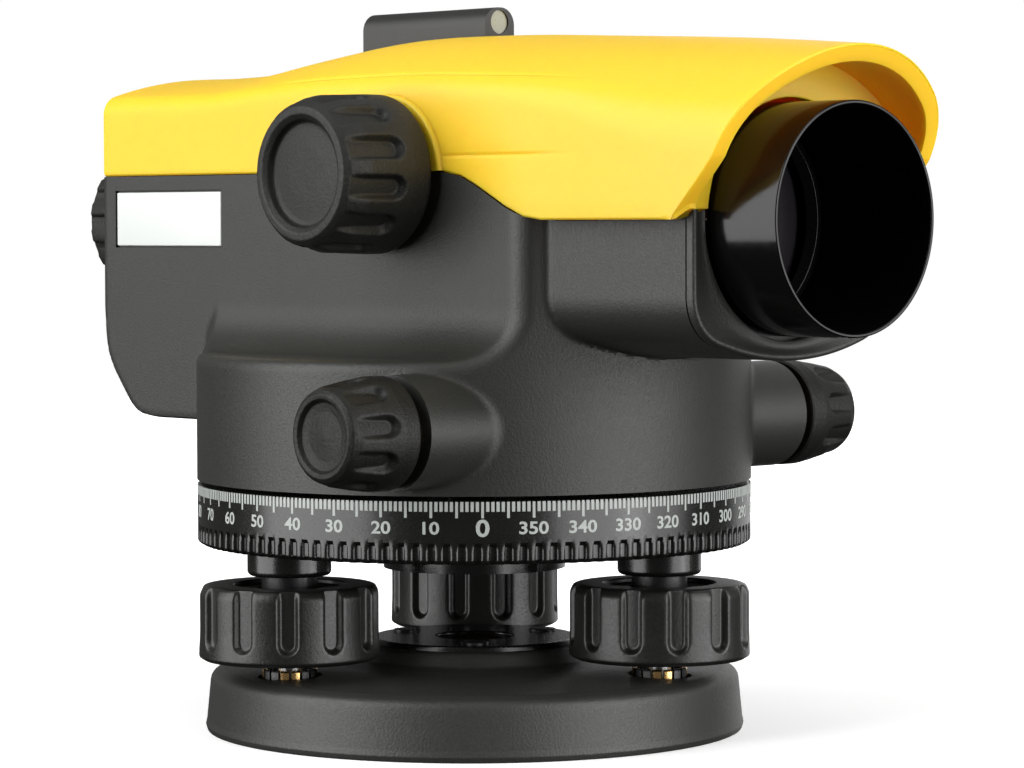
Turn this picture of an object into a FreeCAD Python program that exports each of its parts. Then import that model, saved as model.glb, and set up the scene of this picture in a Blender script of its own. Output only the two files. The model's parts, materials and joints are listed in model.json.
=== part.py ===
import FreeCAD, Part
import math
import os

# Automatic level on a three-screw levelling base.
# Millimetres. +Z is up along the vertical axis, +X is the line of sight towards the objective.
# The origin is on the vertical axis, in the plane of the base's underside.

V = FreeCAD.Vector

# ---- driving dimensions -------------------------------------------------------------------
BASE_R = 52.3              # base plate
BASE_TOP_Z = 12.0
BOSS_R = 21.0              # raised middle of the base plate
BOSS_Z = 16.6
THREAD_R = 6.85            # minor radius of the 5/8"-11 tripod thread
INSERT_R = 11.0

FOOT_PITCH_R = 40.7        # circle that carries the three foot screws
FOOT_ANGLES = {"a": 17.4, "b": 137.4, "c": 257.4}
LEVELLING_SCREW = "c"      # the screw whose turning tilts the head; its ball foot swivels
BALL_R = 4.0
BALL_Z = 8.5
KNOB_R = 17.1              # foot screw knob
KNOB_Z0, KNOB_Z1 = 15.6, 30.0
SPINDLE_R = 3.2
COLLAR_R, COLLAR_SLOTS, COLLAR_PHASE = 5.3, 16, 6.0
KNOB_PHASES = {"a": -3.5, "b": 6.3, "c": -10.9}
FOOT_SCREW_TOP = 44.5
FIT = 0.05                 # radial clearance of every running fit

RING_R = 54.0              # graduated circle
RING_Z0, RING_Z1 = 36.4, 48.1
RING_WALL = 3.6
KNURLS = 120
HEAD_R = 49.9              # levelling head inside the circle
NECK_R = 8.0
HEAD_BOSS_R = 17.8
HEAD_BOSS_Z = 31.3

DRUM_R = 54.1              # lower housing
DRUM_Z0 = 48.9
LEDGE_Z = 73.5             # height of the ledge where the flat sides start
BODY_HALF = 30.0           # half width between the flat sides
COVE_R = 9.5
REAR_X = -80.0
REAR_BOTTOM_Z = 59.3
WALL = 3.0
WEB_Z0, WEB_Z1 = 68.0, 70.5  # inner web that carries the vertical axis
SCREW_R, SCREW_HEAD_R = 1.3, 2.6
FLANGE_SCREW_R = 18.0
COVER_SCREW_Y, COVER_SCREW_Z = (-21.0, 21.0), 113.0

AXIS_Z = 99.0              # line of sight
BARREL_HALF = 25.5         # U-shaped front of the housing
BARREL_BOTTOM_Z = 73.7
BARREL_CROWN_R = 60.0
BARREL_CORNER_R = 9.0
BARREL_X = 82.3
FRAME_X = 84.3             # front face of the front frame
TUBE_R = 20.96             # objective tube
TUBE_BORE_R = 20.2
TUBE_X = 99.46
TUBE_BACK_X = 56.0
FRONT_HOLE_R = 21.8        # hole in the front faces, round the tube
LIGHT_BORE_R = 14.5        # bore for the light behind the tube

SEAM_Z = 108.2             # lower edge of the cover at the rear
SEAM_FRONT_Z = 99.0        # and at the front
COVER_WALL = 2.2
# sections of the cover: x, half width, crest height, crown radius, corner radius
COVER_SECTIONS = [
    (-80.0, 30.0, 128.7, 92.0, 4.0),
    (-62.0, 30.0, 128.6, 92.0, 4.0),
    (-46.0, 30.0, 129.3, 80.0, 4.0),
    (-30.0, 30.0, 131.8, 64.0, 4.0),
    (-10.0, 30.0, 134.2, 53.0, 4.5),
    (15.0, 30.0, 134.4, 52.0, 5.0),
    (45.0, 30.0, 133.2, 50.0, 6.5),
    (78.0, 29.8, 131.5, 40.0, 12.0),
    (104.0, 29.1, 129.6, 36.0, 15.0),
]
VISOR_SLOPE = 0.505        # lean of the visor's front edge, x per z
VISOR_X, VISOR_Z = 91.9, 109.8

SHAFT_X, SHAFT_Z = 32.3, 60.7      # cross shaft of the slow motion drive
DRIVE_KNOB_Y0, DRIVE_KNOB_Y1 = 51.6, 66.6
DRIVE_KNOB_R = 10.4
SLEEVE_END_Y = 49.5
WHEEL_R = 25.7
WORM_R = 6.4

FOCUS_X, FOCUS_Z = 9.2, 107.6      # focusing knob
FOCUS_Y0, FOCUS_Y1 = -32.0, -52.0
FOCUS_BACK_R, FOCUS_FRONT_R = 14.9, 12.0
FOCUS_COLLAR_R = 15.8
FLUTE_R = 2.2
PINION_R = 2.4
FOCUS_LENS_X = 22.0

SIGHT_X0, SIGHT_X1 = -28.3, 7.6
SIGHT_HALF = 3.8
SIGHT_TOP_Z = 140.1
SIGHT_BORE_R, SIGHT_Z = 2.3, 137.3

EYEPIECE_R = 15.0           # dioptre ring
EYEPIECE_X0, EYEPIECE_X1 = -84.0, -105.6

LEVEL_X, LEVEL_Y, LEVEL_Z = -42.0, 44.5, 90.0   # circular level on the far side
LEVEL_R = 11.0


# ---- small helpers ------------------------------------------------------------------------
def rod_z(r, z0, z1, x=0.0, y=0.0):
    return Part.makeCylinder(r, z1 - z0, V(x, y, z0))


def rod_x(r, x0, x1, y=0.0, z=AXIS_Z):
    return Part.makeCylinder(r, x1 - x0, V(x0, y, z), V(1, 0, 0))


def rod_y(r, y0, y1, x, z):
    return Part.makeCylinder(r, y1 - y0, V(x, y0, z), V(0, 1, 0))


def tube_z(r_out, r_in, z0, z1, x=0.0, y=0.0):
    return rod_z(r_out, z0, z1, x, y).cut(rod_z(r_in, z0 - 1, z1 + 1, x, y))


def tube_x(r_out, r_in, x0, x1, y=0.0, z=AXIS_Z):
    return rod_x(r_out, x0, x1, y, z).cut(rod_x(r_in, x0 - 1, x1 + 1, y, z))


def tube_y(r_out, r_in, y0, y1, x, z):
    return rod_y(r_out, y0, y1, x, z).cut(rod_y(r_in, y0 - 1, y1 + 1, x, z))


def block(x0, x1, y0, y1, z0, z1):
    return Part.makeBox(x1 - x0, y1 - y0, z1 - z0, V(x0, y0, z0))


def polar(radius, degrees):
    angle = math.radians(degrees)
    return radius * math.cos(angle), radius * math.sin(angle)


def spin_profile(points, x=0.0, y=0.0):
    """Solid of revolution about a vertical axis; points are (radius, z)."""
    wire = Part.makePolygon([V(x + r, y, z) for r, z in points + points[:1]])
    return Part.Face(wire).revolve(V(x, y, 0), V(0, 0, 1), 360)


def spin_profile_y(points, x, z):
    """Solid of revolution about an axis along Y; points are (radius, y)."""
    wire = Part.makePolygon([V(x + r, y, z) for r, y in points + points[:1]])
    return Part.Face(wire).revolve(V(x, 0, z), V(0, 1, 0), 360)


def spin_profile_x(points, z=AXIS_Z):
    """Solid of revolution about an axis along X at height z; points are (radius, x)."""
    wire = Part.makePolygon([V(x, 0, z + r) for r, x in points + points[:1]])
    return Part.Face(wire).revolve(V(0, 0, z), V(1, 0, 0), 360)


def plate_y(points, y0, y1):
    """Outline given as (x, z), extruded along Y."""
    wire = Part.makePolygon([V(x, y0, z) for x, z in points + points[:1]])
    return Part.Face(wire).extrude(V(0, y1 - y0, 0))


def plate_x(points, x0, x1):
    """Outline given as (y, z), extruded along X."""
    wire = Part.makePolygon([V(x0, y, z) for y, z in points + points[:1]])
    return Part.Face(wire).extrude(V(x1 - x0, 0, 0))


def fuse(shapes):
    return shapes[0].multiFuse(shapes[1:]).removeSplitter()


def group(shapes):
    return Part.makeCompound(shapes)


def rounded(shape, radius, wanted):
    """Fillet the edges that `wanted` picks; each edge is tried alone if the set fails."""
    edges = [e for e in shape.Edges if wanted(e)]
    try:
        out = shape.makeFillet(radius, edges)
        if out.isValid():
            return out
    except Exception:
        pass
    return shape


def at_height(z, tolerance=0.05):
    return lambda e: abs(e.BoundBox.ZMin - z) < tolerance and abs(e.BoundBox.ZMax - z) < tolerance


def arch_wire(x, half, base_z, crest_z, crown_r, corner_r):
    """Closed section across X: flat base, upright sides, round corners and a crowned crest.
    The crest may be above or below the base."""
    up = 1.0 if crest_z > base_z else -1.0
    crown_c = crest_z - up * crown_r
    corner_y = half - corner_r
    corner_c = crown_c + up * math.sqrt((crown_r - corner_r) ** 2 - corner_y ** 2)
    lean = math.atan2(corner_y, abs(corner_c - crown_c))
    touch = (crown_r * math.sin(lean), crown_c + up * crown_r * math.cos(lean))
    middle = (math.pi / 2 + lean) / 2
    bend = (corner_y + corner_r * math.sin(middle), corner_c + up * corner_r * math.cos(middle))
    side = [V(x, half, base_z), V(x, half, corner_c)]
    edges = [
        Part.makeLine(V(x, -half, base_z), side[0]),
        Part.makeLine(*side),
        Part.Arc(side[1], V(x, *bend), V(x, *touch)).toShape(),
        Part.Arc(V(x, *touch), V(x, 0, crest_z), V(x, -touch[0], touch[1])).toShape(),
        Part.Arc(V(x, -touch[0], touch[1]), V(x, -bend[0], bend[1]), V(x, -half, corner_c)).toShape(),
        Part.makeLine(V(x, -half, corner_c), V(x, -half, base_z)),
    ]
    return Part.Wire(edges)


def fluted(shape, count, cutter, axis_point, axis, phase=0.0):
    """Cut `count` copies of `cutter`, spread evenly about an axis."""
    copies = []
    for i in range(count):
        copy = cutter.copy()
        copy.rotate(axis_point, axis, phase + 360.0 * i / count)
        copies.append(copy)
    return shape.cut(group(copies))


# ---- base ---------------------------------------------------------------------------------
def base_plate():
    body = spin_profile([
        (0, 0), (BASE_R, 0), (BASE_R, 1.0), (BASE_R - 0.3, 2.0), (BASE_R - 0.8, BASE_TOP_Z),
        (BOSS_R + 6, BASE_TOP_Z + 0.9), (BOSS_R + 1.5, BASE_TOP_Z + 1.6), (BOSS_R, BOSS_Z), (0, BOSS_Z)])
    body = rounded(body, 2.4, lambda e: at_height(BASE_TOP_Z)(e) and e.BoundBox.XMax > BASE_R - 2)
    body = rounded(body, 1.0, at_height(BOSS_Z))
    body = body.cut(rod_z(INSERT_R, -1, BOSS_Z + 1))
    body = body.cut(tube_z(42, 25, -1, 2.0))
    for angle in FOOT_ANGLES.values():
        x, y = polar(FOOT_PITCH_R, angle)
        body = body.cut(rod_z(6.2, 3.6, BASE_TOP_Z + 2, x, y))
    for i in range(3):
        body = body.cut(rod_z(1.3, 8, BOSS_Z + 1, *polar(15.5, 77.4 + 120 * i)))
    return body


def tripod_thread_insert():
    return tube_z(INSERT_R, THREAD_R, 0.0, BOSS_Z - 1.0)


def foot_seats():
    """Hardened cups that hold the ball feet."""
    cups = []
    for angle in FOOT_ANGLES.values():
        x, y = polar(FOOT_PITCH_R, angle)
        cup = rod_z(6.2, 3.6, BALL_Z - 0.4, x, y)
        cups.append(cup.cut(Part.makeSphere(BALL_R + 0.06, V(x, y, BALL_Z))))
    return group(cups)


def retaining_plate():
    plate = rounded(tube_z(BOSS_R - 1.0, 7.5, BOSS_Z, BOSS_Z + 1.1), 0.4, at_height(BOSS_Z + 1.1))
    return plate.cut(group([rod_z(1.6, BOSS_Z - 1, BOSS_Z + 2, *polar(15.5, 77.4 + 120 * i))
                            for i in range(3)]))


def retaining_plate_screws():
    screws = []
    for i in range(3):
        x, y = polar(15.5, 77.4 + 120 * i)
        head = rounded(rod_z(2.6, BOSS_Z + 1.1, BOSS_Z + 1.6, x, y), 0.2, at_height(BOSS_Z + 1.6))
        slot = block(x - 3, x + 3, y - 0.35, y + 0.35, BOSS_Z + 1.3, BOSS_Z + 3)
        screws.append(fuse([head, rod_z(1.3, 8.5, BOSS_Z + 1.2, x, y)]).cut(slot))
    return group(screws)


def foot_collars():
    """Slotted brass collars that stand on the cups and guide the ball feet."""
    collars = []
    for angle in FOOT_ANGLES.values():
        x, y = polar(FOOT_PITCH_R, angle)
        collar = tube_z(COLLAR_R, BALL_R + 0.3, BALL_Z - 0.4, 13.8, x, y)
        slot = block(x + 3.5, x + COLLAR_R + 1, y - 0.27, y + 0.27, 9.6, 15.0)
        collars.append(fluted(collar, COLLAR_SLOTS, slot, V(x, y, 0), V(0, 0, 1), COLLAR_PHASE))
    return group(collars)


# ---- foot screws --------------------------------------------------------------------------
def foot_knob(x, y, phase):
    """Knob with flutes that run out at its top; the bush sleeve dips into the well in its top."""
    knob = spin_profile([
        (SPINDLE_R, KNOB_Z0), (KNOB_R - 0.8, KNOB_Z0), (KNOB_R + 0.2, KNOB_Z0 + 0.8),
        (KNOB_R, KNOB_Z0 + 6.0), (KNOB_R, KNOB_Z1), (10.5, KNOB_Z1), (10.5, KNOB_Z1 - 1.0),
        (6.6, KNOB_Z1 - 1.0), (6.6, KNOB_Z1 - 3.4), (SPINDLE_R, KNOB_Z1 - 3.4)], x, y)
    knob = rounded(knob, 1.2, lambda e: at_height(KNOB_Z1)(e) and e.BoundBox.XLength > 2 * KNOB_R - 1)
    cutter = rod_z(2.4, KNOB_Z0 + 4.6, KNOB_Z1 + 1, x + KNOB_R + 1.4, y)
    cutter = cutter.fuse(Part.makeSphere(2.4, V(x + KNOB_R + 1.4, y, KNOB_Z0 + 4.6)))
    return fluted(knob, 12, cutter, V(x, y, 0), V(0, 0, 1), phase)


def foot_spindle(x, y):
    """Threaded spindle; the knob sits on its middle and the ball foot on its lower end."""
    spindle = fuse([rod_z(2.3, 11.0, KNOB_Z0 - 0.5, x, y),
                    rod_z(SPINDLE_R, KNOB_Z0 - 0.5, FOOT_SCREW_TOP, x, y)])
    grooves = group([tube_z(5, SPINDLE_R - 0.25, z, z + 0.4, x, y)
                     for z in [KNOB_Z1 + 1.2 + 0.8 * i for i in range(16)]])
    return spindle.cut(grooves)


def foot_ball(x, y):
    ball = Part.makeSphere(BALL_R, V(x, y, BALL_Z))
    return ball.fuse(rod_z(2.3, BALL_Z, 11.0, x, y)).cut(rod_z(9, 11.0, 16, x, y))


# ---- levelling head -----------------------------------------------------------------------
def head_plate():
    plate = fuse([tube_z(HEAD_R, 13.6, 37.4, 46.9), rod_z(HEAD_BOSS_R, HEAD_BOSS_Z, 39.0)]
                 + [rod_z(NECK_R, 31.6, 39.0, *polar(FOOT_PITCH_R, a)) for a in FOOT_ANGLES.values()])
    plate = rounded(plate, 1.0, at_height(31.6))
    plate = plate.cut(rod_z(13.6, 33.6, 50)).cut(tube_z(HEAD_R - 6.0, 20.0, 41.0, 50))
    ring_rest = []
    for angle in FOOT_ANGLES.values():
        ring_rest.append(rod_z(NECK_R, 39.0, 46.4, *polar(FOOT_PITCH_R, angle)))
    plate = fuse([plate] + [r.common(rod_z(HEAD_R, 30, 50)) for r in ring_rest])
    for angle in FOOT_ANGLES.values():
        plate = plate.cut(rod_z(5.6, 30, 50, *polar(FOOT_PITCH_R, angle)))
    return plate


def foot_bushes():
    """Threaded bushes of the three foot screws, each with a dust sleeve on its lower end."""
    bushes = []
    for angle in FOOT_ANGLES.values():
        x, y = polar(FOOT_PITCH_R, angle)
        sleeve = tube_z(5.3, SPINDLE_R + FIT, 29.2, 31.8, x, y)
        bushes.append(tube_z(5.6, SPINDLE_R + FIT, 31.8, 46.0, x, y).fuse(sleeve))
    return group(bushes)


def axis_bush():
    """Steel bearing bush of the vertical axis; the worm wheel turns on its upper part."""
    return fuse([tube_z(13.6, 9.0, 33.6, 47.0), tube_z(13.0, 9.0, 47.0, 63.0)])


def circle_ring():
    """Graduated horizontal circle with a knurled lower edge."""
    inner = RING_R - RING_WALL
    ring = spin_profile([(inner, RING_Z0), (RING_R - 0.6, RING_Z0), (RING_R, RING_Z0 + 0.5),
                         (RING_R, RING_Z1 - 0.4), (RING_R - 0.4, RING_Z1), (HEAD_R - 5.0, RING_Z1),
                         (HEAD_R - 5.0, RING_Z1 - 0.9), (inner, RING_Z1 - 0.9)])
    cutter = rod_z(0.5, RING_Z0 - 1, RING_Z0 + 3.0, RING_R + 0.05, 0)
    return fluted(ring, KNURLS, cutter, V(0, 0, 0), V(0, 0, 1))


# ---- housing ------------------------------------------------------------------------------
def seam_cutter(gap):
    """Everything above the seam between the housing and the cover."""
    high = 160.0
    return plate_y([
        (-120, SEAM_Z - gap), (23.0, SEAM_Z - gap), (29.0, 107.2 - gap), (33.5, 105.2 - gap),
        (41.0, 101.4 - gap), (45.5, 99.6 - gap), (50.0, SEAM_FRONT_Z - gap), (83.0, SEAM_FRONT_Z - gap),
        (85.0, SEAM_FRONT_Z + 1.9 - gap), (120, SEAM_FRONT_Z + 1.9 - gap), (120, high), (-120, high)], -90, 90)


def side_cutter(y_sign, half, ledge_z, cove_r):
    """Cuts the flat side of the body down to the ledge, leaving a hollow cove in the corner."""
    s = y_sign
    a, b = s * half, s * (half + cove_r)
    corner = 0.7071 * cove_r
    edges = [
        Part.makeLine(V(-90, a, 150), V(-90, a, ledge_z + cove_r)),
        Part.Arc(V(-90, a, ledge_z + cove_r), V(-90, b - s * corner, ledge_z + cove_r - corner),
                 V(-90, b, ledge_z)).toShape(),
        Part.makeLine(V(-90, b, ledge_z), V(-90, s * 80, ledge_z)),
        Part.makeLine(V(-90, s * 80, ledge_z), V(-90, s * 80, 150)),
        Part.makeLine(V(-90, s * 80, 150), V(-90, a, 150)),
    ]
    return Part.Face(Part.Wire(edges)).extrude(V(180, 0, 0))


def rear_outline(inset):
    x, z = REAR_X + inset, REAR_BOTTOM_Z + inset
    return [(x, 110), (x, 75.6), (x + 1.2, 70.9), (x + 10.0, z + 0.9), (x + 13.0, z), (0, z), (0, 110)]


def upper_core(half, drum_r):
    """Drum wall carried up between the two flat sides."""
    core = rod_z(drum_r, DRUM_Z0, 109)
    for s in (-1, 1):
        core = core.cut(side_cutter(s, half, LEDGE_Z, COVE_R))
    return core


def housing():
    """Main casting: drum, flat-sided body and rear box."""
    rear = plate_y(rear_outline(0), -BODY_HALF, BODY_HALF)
    rear = rounded(rear, 1.0, lambda e: e.BoundBox.XMax < REAR_X + 0.1 and e.BoundBox.ZLength > 30)
    body = fuse([upper_core(BODY_HALF, DRUM_R), rear])
    for s in (-1, 1):
        sleeve = rod_y(DRIVE_KNOB_R, min(s * 20, s * SLEEVE_END_Y), max(s * 20, s * SLEEVE_END_Y),
                       SHAFT_X, SHAFT_Z)
        body = body.fuse(sleeve)
    # hollow
    inner = BODY_HALF - WALL
    cavity = rod_z(DRUM_R - WALL, DRUM_Z0 - 1, WEB_Z0)
    upper = rod_z(DRUM_R - WALL, WEB_Z1, 120).common(block(-60, 60, -inner, inner, 60, 120))
    rear_hollow = plate_y(rear_outline(WALL), -inner, inner)
    above_web = rear_hollow.common(block(-90, -20, -40, 40, WEB_Z1, 120))
    behind_drum = rear_hollow.common(block(-90, -(DRUM_R + 1), -40, 40, 50, WEB_Z1 + 0.5))
    body = body.cut(fuse([cavity, upper, above_web, behind_drum]))
    lugs = [block(-77.6, -73.0, y - 3.5, y + 3.5, 100.0, COVER_SCREW_Z + 4) for y in COVER_SCREW_Y]
    body = body.cut(rod_z(9.6, 60, 75))
    body = body.cut(rod_x(LIGHT_BORE_R, 30, 60))
    body = body.cut(rod_x(1.5, 30, 50, 15.0, 88.0)).cut(rod_x(1.5, 30, 50, -15.0, 88.0))
    body = body.cut(seam_cutter(0.15))
    body = body.multiFuse(lugs)
    body = body.cut(group([rod_x(SCREW_R, -79, -70, y, COVER_SCREW_Z) for y in COVER_SCREW_Y]))
    body = body.cut(group([rod_z(SCREW_R, 60, 69.9, *polar(FLANGE_SCREW_R, 45 + 90 * i)) for i in range(4)]))
    # bores: drive shaft, focusing shaft, eyepiece sleeve
    body = body.cut(rod_y(5.0, -60, 60, SHAFT_X, SHAFT_Z))
    body = body.cut(rod_y(9.0, -40, -20, FOCUS_X, FOCUS_Z))
    body = body.cut(rod_x(13.2, -90, -70))
    # label recess
    body = body.cut(block(-75.6, -41.0, -40, -29.5, 93.6, 105.2))
    return body


def barrel():
    """U-shaped front of the body; it holds the objective tube."""
    body = Part.Face(arch_wire(20, BARREL_HALF, 101, BARREL_BOTTOM_Z, BARREL_CROWN_R,
                               BARREL_CORNER_R)).extrude(V(BARREL_X - 20, 0, 0))
    body = body.cut(rod_z(DRUM_R, 40, 120))
    body = body.cut(rod_x(FRONT_HOLE_R, 81.0, 90)).cut(rod_x(TUBE_R, TUBE_BACK_X, 90))
    return body.cut(rod_x(LIGHT_BORE_R, 30, 60)).cut(seam_cutter(0.15))


def front_frame():
    """U-shaped frame that closes the front of the housing round the objective tube."""
    frame = Part.Face(arch_wire(BARREL_X + 0.2, BARREL_HALF, 101, BARREL_BOTTOM_Z, BARREL_CROWN_R,
                                BARREL_CORNER_R)).extrude(V(FRAME_X - BARREL_X - 0.2, 0, 0))
    frame = rounded(frame, 0.7, lambda e: e.BoundBox.XMin > FRAME_X - 0.05)
    frame = frame.cut(rod_x(FRONT_HOLE_R, 80, 90))
    return frame.cut(seam_cutter(0.15))


def objective_tube():
    """Dew hood and objective mount in one turned tube, with a seat behind the lens."""
    tube = rounded(tube_x(TUBE_R, TUBE_BORE_R, TUBE_BACK_X, TUBE_X), 0.3,
                   lambda e: e.BoundBox.XMin > TUBE_X - 0.05)
    return tube.fuse(tube_x(TUBE_BORE_R, 17.0, 57.2, 63.1))


def drum_floor():
    """Plate that closes the drum from below."""
    plate = tube_z(DRUM_R - WALL, 14.0, DRUM_Z0, DRUM_Z0 + 2.2)
    return plate


def axis_spindle():
    """Vertical axis: flange under the housing's web, journal in the head's bush."""
    spindle = fuse([rod_z(9.0 - FIT, 34.5, WEB_Z0), rod_z(22.0, WEB_Z0 - 2.0, WEB_Z0)])
    return spindle.cut(group([rod_z(SCREW_R, 60, 70, *polar(FLANGE_SCREW_R, 45 + 90 * i))
                              for i in range(4)]))


# ---- cover --------------------------------------------------------------------------------
def cover_block(inset, x0_shift=0.0):
    wires = []
    for x, half, crest, crown_r, corner_r in COVER_SECTIONS:
        if x == REAR_X:
            x += x0_shift
        wires.append(arch_wire(x, half - inset, 95.0, crest - inset, crown_r - inset,
                               max(corner_r - inset, 1.0)))
    return Part.makeLoft(wires, True, False)


def visor_cutter():
    """Everything in front of the visor's slanted edge."""
    top_z = 140.0
    return plate_y([
        (VISOR_X + VISOR_SLOPE * (top_z - VISOR_Z), top_z), (VISOR_X, VISOR_Z), (89.9, 107.4),
        (87.2, 104.0), (85.5, 101.5), (85.3, 100.0), (85.3, 90.0), (130, 90.0), (130, top_z)], -60, 60)


def top_cover():
    solid = cover_block(0)
    front_wall = solid.common(block(FRAME_X - 1.8, FRAME_X, -60, 60, 60, 160)).cut(rod_x(FRONT_HOLE_R, 80, 90))
    bottom = block(-120, 120, -90, 90, 60, 160).cut(seam_cutter(0))
    shell = fuse([solid.cut(cover_block(COVER_WALL, COVER_WALL)), front_wall])
    shell = shell.cut(bottom).cut(visor_cutter())
    collar = rod_y(FOCUS_COLLAR_R, -31.0, -28.5, FOCUS_X, FOCUS_Z).cut(bottom)
    shell = shell.fuse(collar)
    shell = shell.cut(rod_y(9.0, -40, -20, FOCUS_X, FOCUS_Z)).cut(rod_x(13.2, -90, -70))
    return shell.cut(group([rod_x(SCREW_R, -90, -70, y, COVER_SCREW_Z) for y in COVER_SCREW_Y]))


def sight_body():
    """Peep sight: a closed channel on the crest of the cover."""
    body = block(SIGHT_X0, SIGHT_X1, -SIGHT_HALF, SIGHT_HALF, 128.0, SIGHT_TOP_Z)
    body = rounded(body, SIGHT_HALF - 0.4, lambda e: e.BoundBox.XLength > 30 and e.BoundBox.ZMin > 138)
    body = body.cut(cover_block(0))
    body = body.cut(rod_x(SIGHT_BORE_R, SIGHT_X0 - 1, SIGHT_X1 + 1, 0, SIGHT_Z))
    return body


def sight_windows():
    """Clear ends of the peep sight and the marked glass between them."""
    return group([rod_x(SIGHT_BORE_R, x, x + 1.2, 0, SIGHT_Z)
                  for x in (SIGHT_X0 + 0.4, -12.0, SIGHT_X1 - 1.6)])


def label_plate():
    return block(-75.2, -41.4, -30.0, -29.5, 94.0, 104.8)


def body_screws():
    """Cap screws: two hold the cover at the rear wall, four hold the axis flange."""
    screws = []
    flange_z = WEB_Z0 - 2.0
    for i in range(4):
        x, y = polar(FLANGE_SCREW_R, 45 + 90 * i)
        screws.append(fuse([rod_z(SCREW_HEAD_R, flange_z - 1.6, flange_z, x, y),
                            rod_z(SCREW_R, flange_z, flange_z + 3.8, x, y)]))
    z = COVER_SCREW_Z
    for y in COVER_SCREW_Y:
        head = rod_x(SCREW_HEAD_R, REAR_X - 1.0, REAR_X, y, z)
        slot = block(REAR_X - 1.1, REAR_X - 0.6, y - 3, y + 3, z - 0.4, z + 0.4)
        screws.append(fuse([head, rod_x(SCREW_R, REAR_X, REAR_X + 6.0, y, z)]).cut(slot))
    return group(screws)


# ---- optics -------------------------------------------------------------------------------
def lens(r, x0, x1, bulge_front, bulge_back):
    """Round lens between two faces; a positive bulge is convex."""
    body = rod_x(r, x0, x1)
    for face_x, bulge, outward in ((x1, bulge_front, 1), (x0, bulge_back, -1)):
        if bulge > 0:
            sphere_r = (r * r + bulge * bulge) / (2 * bulge)
            ball = Part.makeSphere(sphere_r, V(face_x + outward * (bulge - sphere_r), 0, AXIS_Z))
            body = body.common(ball.fuse(rod_x(r + 5, *sorted((face_x - outward * 40, face_x)))))
            cap = ball.common(rod_x(r, *sorted((face_x, face_x + outward * bulge))))
            body = body.fuse(cap)
    return body.removeSplitter()


def objective_lens():
    return lens(19.4, 63.2, 68.2, 2.6, 0)


def objective_retainer():
    """Threaded ring in front of the objective lens."""
    return spin_profile_x([(18.0, 71.2), (TUBE_BORE_R, 71.2), (TUBE_BORE_R, 73.4), (18.6, 73.4)])


def guide_rods():
    """Rods on which the focusing lens slides."""
    return group([rod_x(1.5, -20.0, 50.0, y, 88.0) for y in (-15.0, 15.0)])


def focus_carriage():
    body = tube_x(11.0, 8.5, FOCUS_LENS_X - 5, FOCUS_LENS_X + 5)
    wings = block(FOCUS_LENS_X - 5, FOCUS_LENS_X + 5, -18, 18, 86.0, 90.0)
    arm = block(FOCUS_LENS_X - 5, FOCUS_LENS_X + 5, -18, -9.5, 90.0, 102.0)
    body = fuse([body, wings.cut(rod_x(8.5, 0, 60)), arm.cut(rod_x(8.5, 0, 60))])
    for y in (-15.0, 15.0):
        body = body.cut(rod_x(1.5 + FIT, 0, 60, y, 88.0))
    return body


def focus_rack():
    rack = block(-8.0, FOCUS_LENS_X + 5, -18, -13, 102.0, FOCUS_Z - PINION_R - 0.3)
    slots = group([block(x, x + 0.8, -19, -12, FOCUS_Z - PINION_R - 1.1, FOCUS_Z)
                   for x in [-7.0 + 1.5 * i for i in range(22)]])
    return rack.cut(slots)


def focus_lens():
    return lens(8.5, FOCUS_LENS_X - 2, FOCUS_LENS_X + 2, 0.8, 0)


def focus_knob():
    depth = FOCUS_Y1
    knob = spin_profile_y([
        (0, FOCUS_Y0), (FOCUS_BACK_R - 0.8, FOCUS_Y0), (FOCUS_BACK_R, FOCUS_Y0 - 1.0),
        (FOCUS_BACK_R, FOCUS_Y0 - 4.0), (FOCUS_BACK_R - 0.5, depth + 5.0), (FOCUS_BACK_R - 1.0, depth + 3.0),
        (FOCUS_FRONT_R + 1.4, depth + 1.2), (FOCUS_FRONT_R, depth), (FOCUS_FRONT_R - 2.2, depth), (FOCUS_FRONT_R - 2.8, depth + 1.6),
        (0, depth + 1.2)], FOCUS_X, FOCUS_Z)
    cutter = rod_y(FLUTE_R, depth - 1, depth + 11.1, FOCUS_X + FOCUS_BACK_R + 0.6, FOCUS_Z)
    cutter = cutter.fuse(Part.makeSphere(FLUTE_R, V(FOCUS_X + FOCUS_BACK_R + 0.6, depth + 11.1, FOCUS_Z)))
    knob = fluted(knob, 12, cutter, V(FOCUS_X, 0, FOCUS_Z), V(0, 1, 0), 10.6)
    return knob.cut(rod_y(3.0, FOCUS_Y0 - 12, FOCUS_Y0 + 1, FOCUS_X, FOCUS_Z))


def focus_shaft():
    """Shaft of the focusing knob with the rack pinion cut on its inner end."""
    shaft = fuse([rod_y(3.0, FOCUS_Y0 - 12, -19.0, FOCUS_X, FOCUS_Z),
                  rod_y(PINION_R, -19.0, -12.5, FOCUS_X, FOCUS_Z)])
    cutter = rod_y(0.35, -18.5, -12.0, FOCUS_X + PINION_R, FOCUS_Z)
    return fluted(shaft, 10, cutter, V(FOCUS_X, 0, FOCUS_Z), V(0, 1, 0))


# ---- compensator --------------------------------------------------------------------------
def compensator_frame():
    base = block(-50, -18, -20, 20, WEB_Z1, 73.0)
    plates = [block(x, x + 3, -20, 20, WEB_Z1, 120.0) for x in (-50, -21)]
    top = block(-50, -18, -20, 20, 118.0, 120.0).cut(block(-46, -22, -6, 6, 110, 125))
    frame = fuse([base, top] + plates).cut(rod_x(9.0, -60, -10))
    return frame.cut(group([rod_x(1.5, -20.0, -10, y, 88.0) for y in (-15.0, 15.0)]))


def fixed_prisms():
    """Two fixed prisms that fold the line of sight."""
    return group([plate_y([(x, 93.0), (x + 5.0, 93.0), (x + 5.0, 105.0), (x, 105.0)], -6.0, 6.0)
                  for x in (-47.0, -26.0)])


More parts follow.
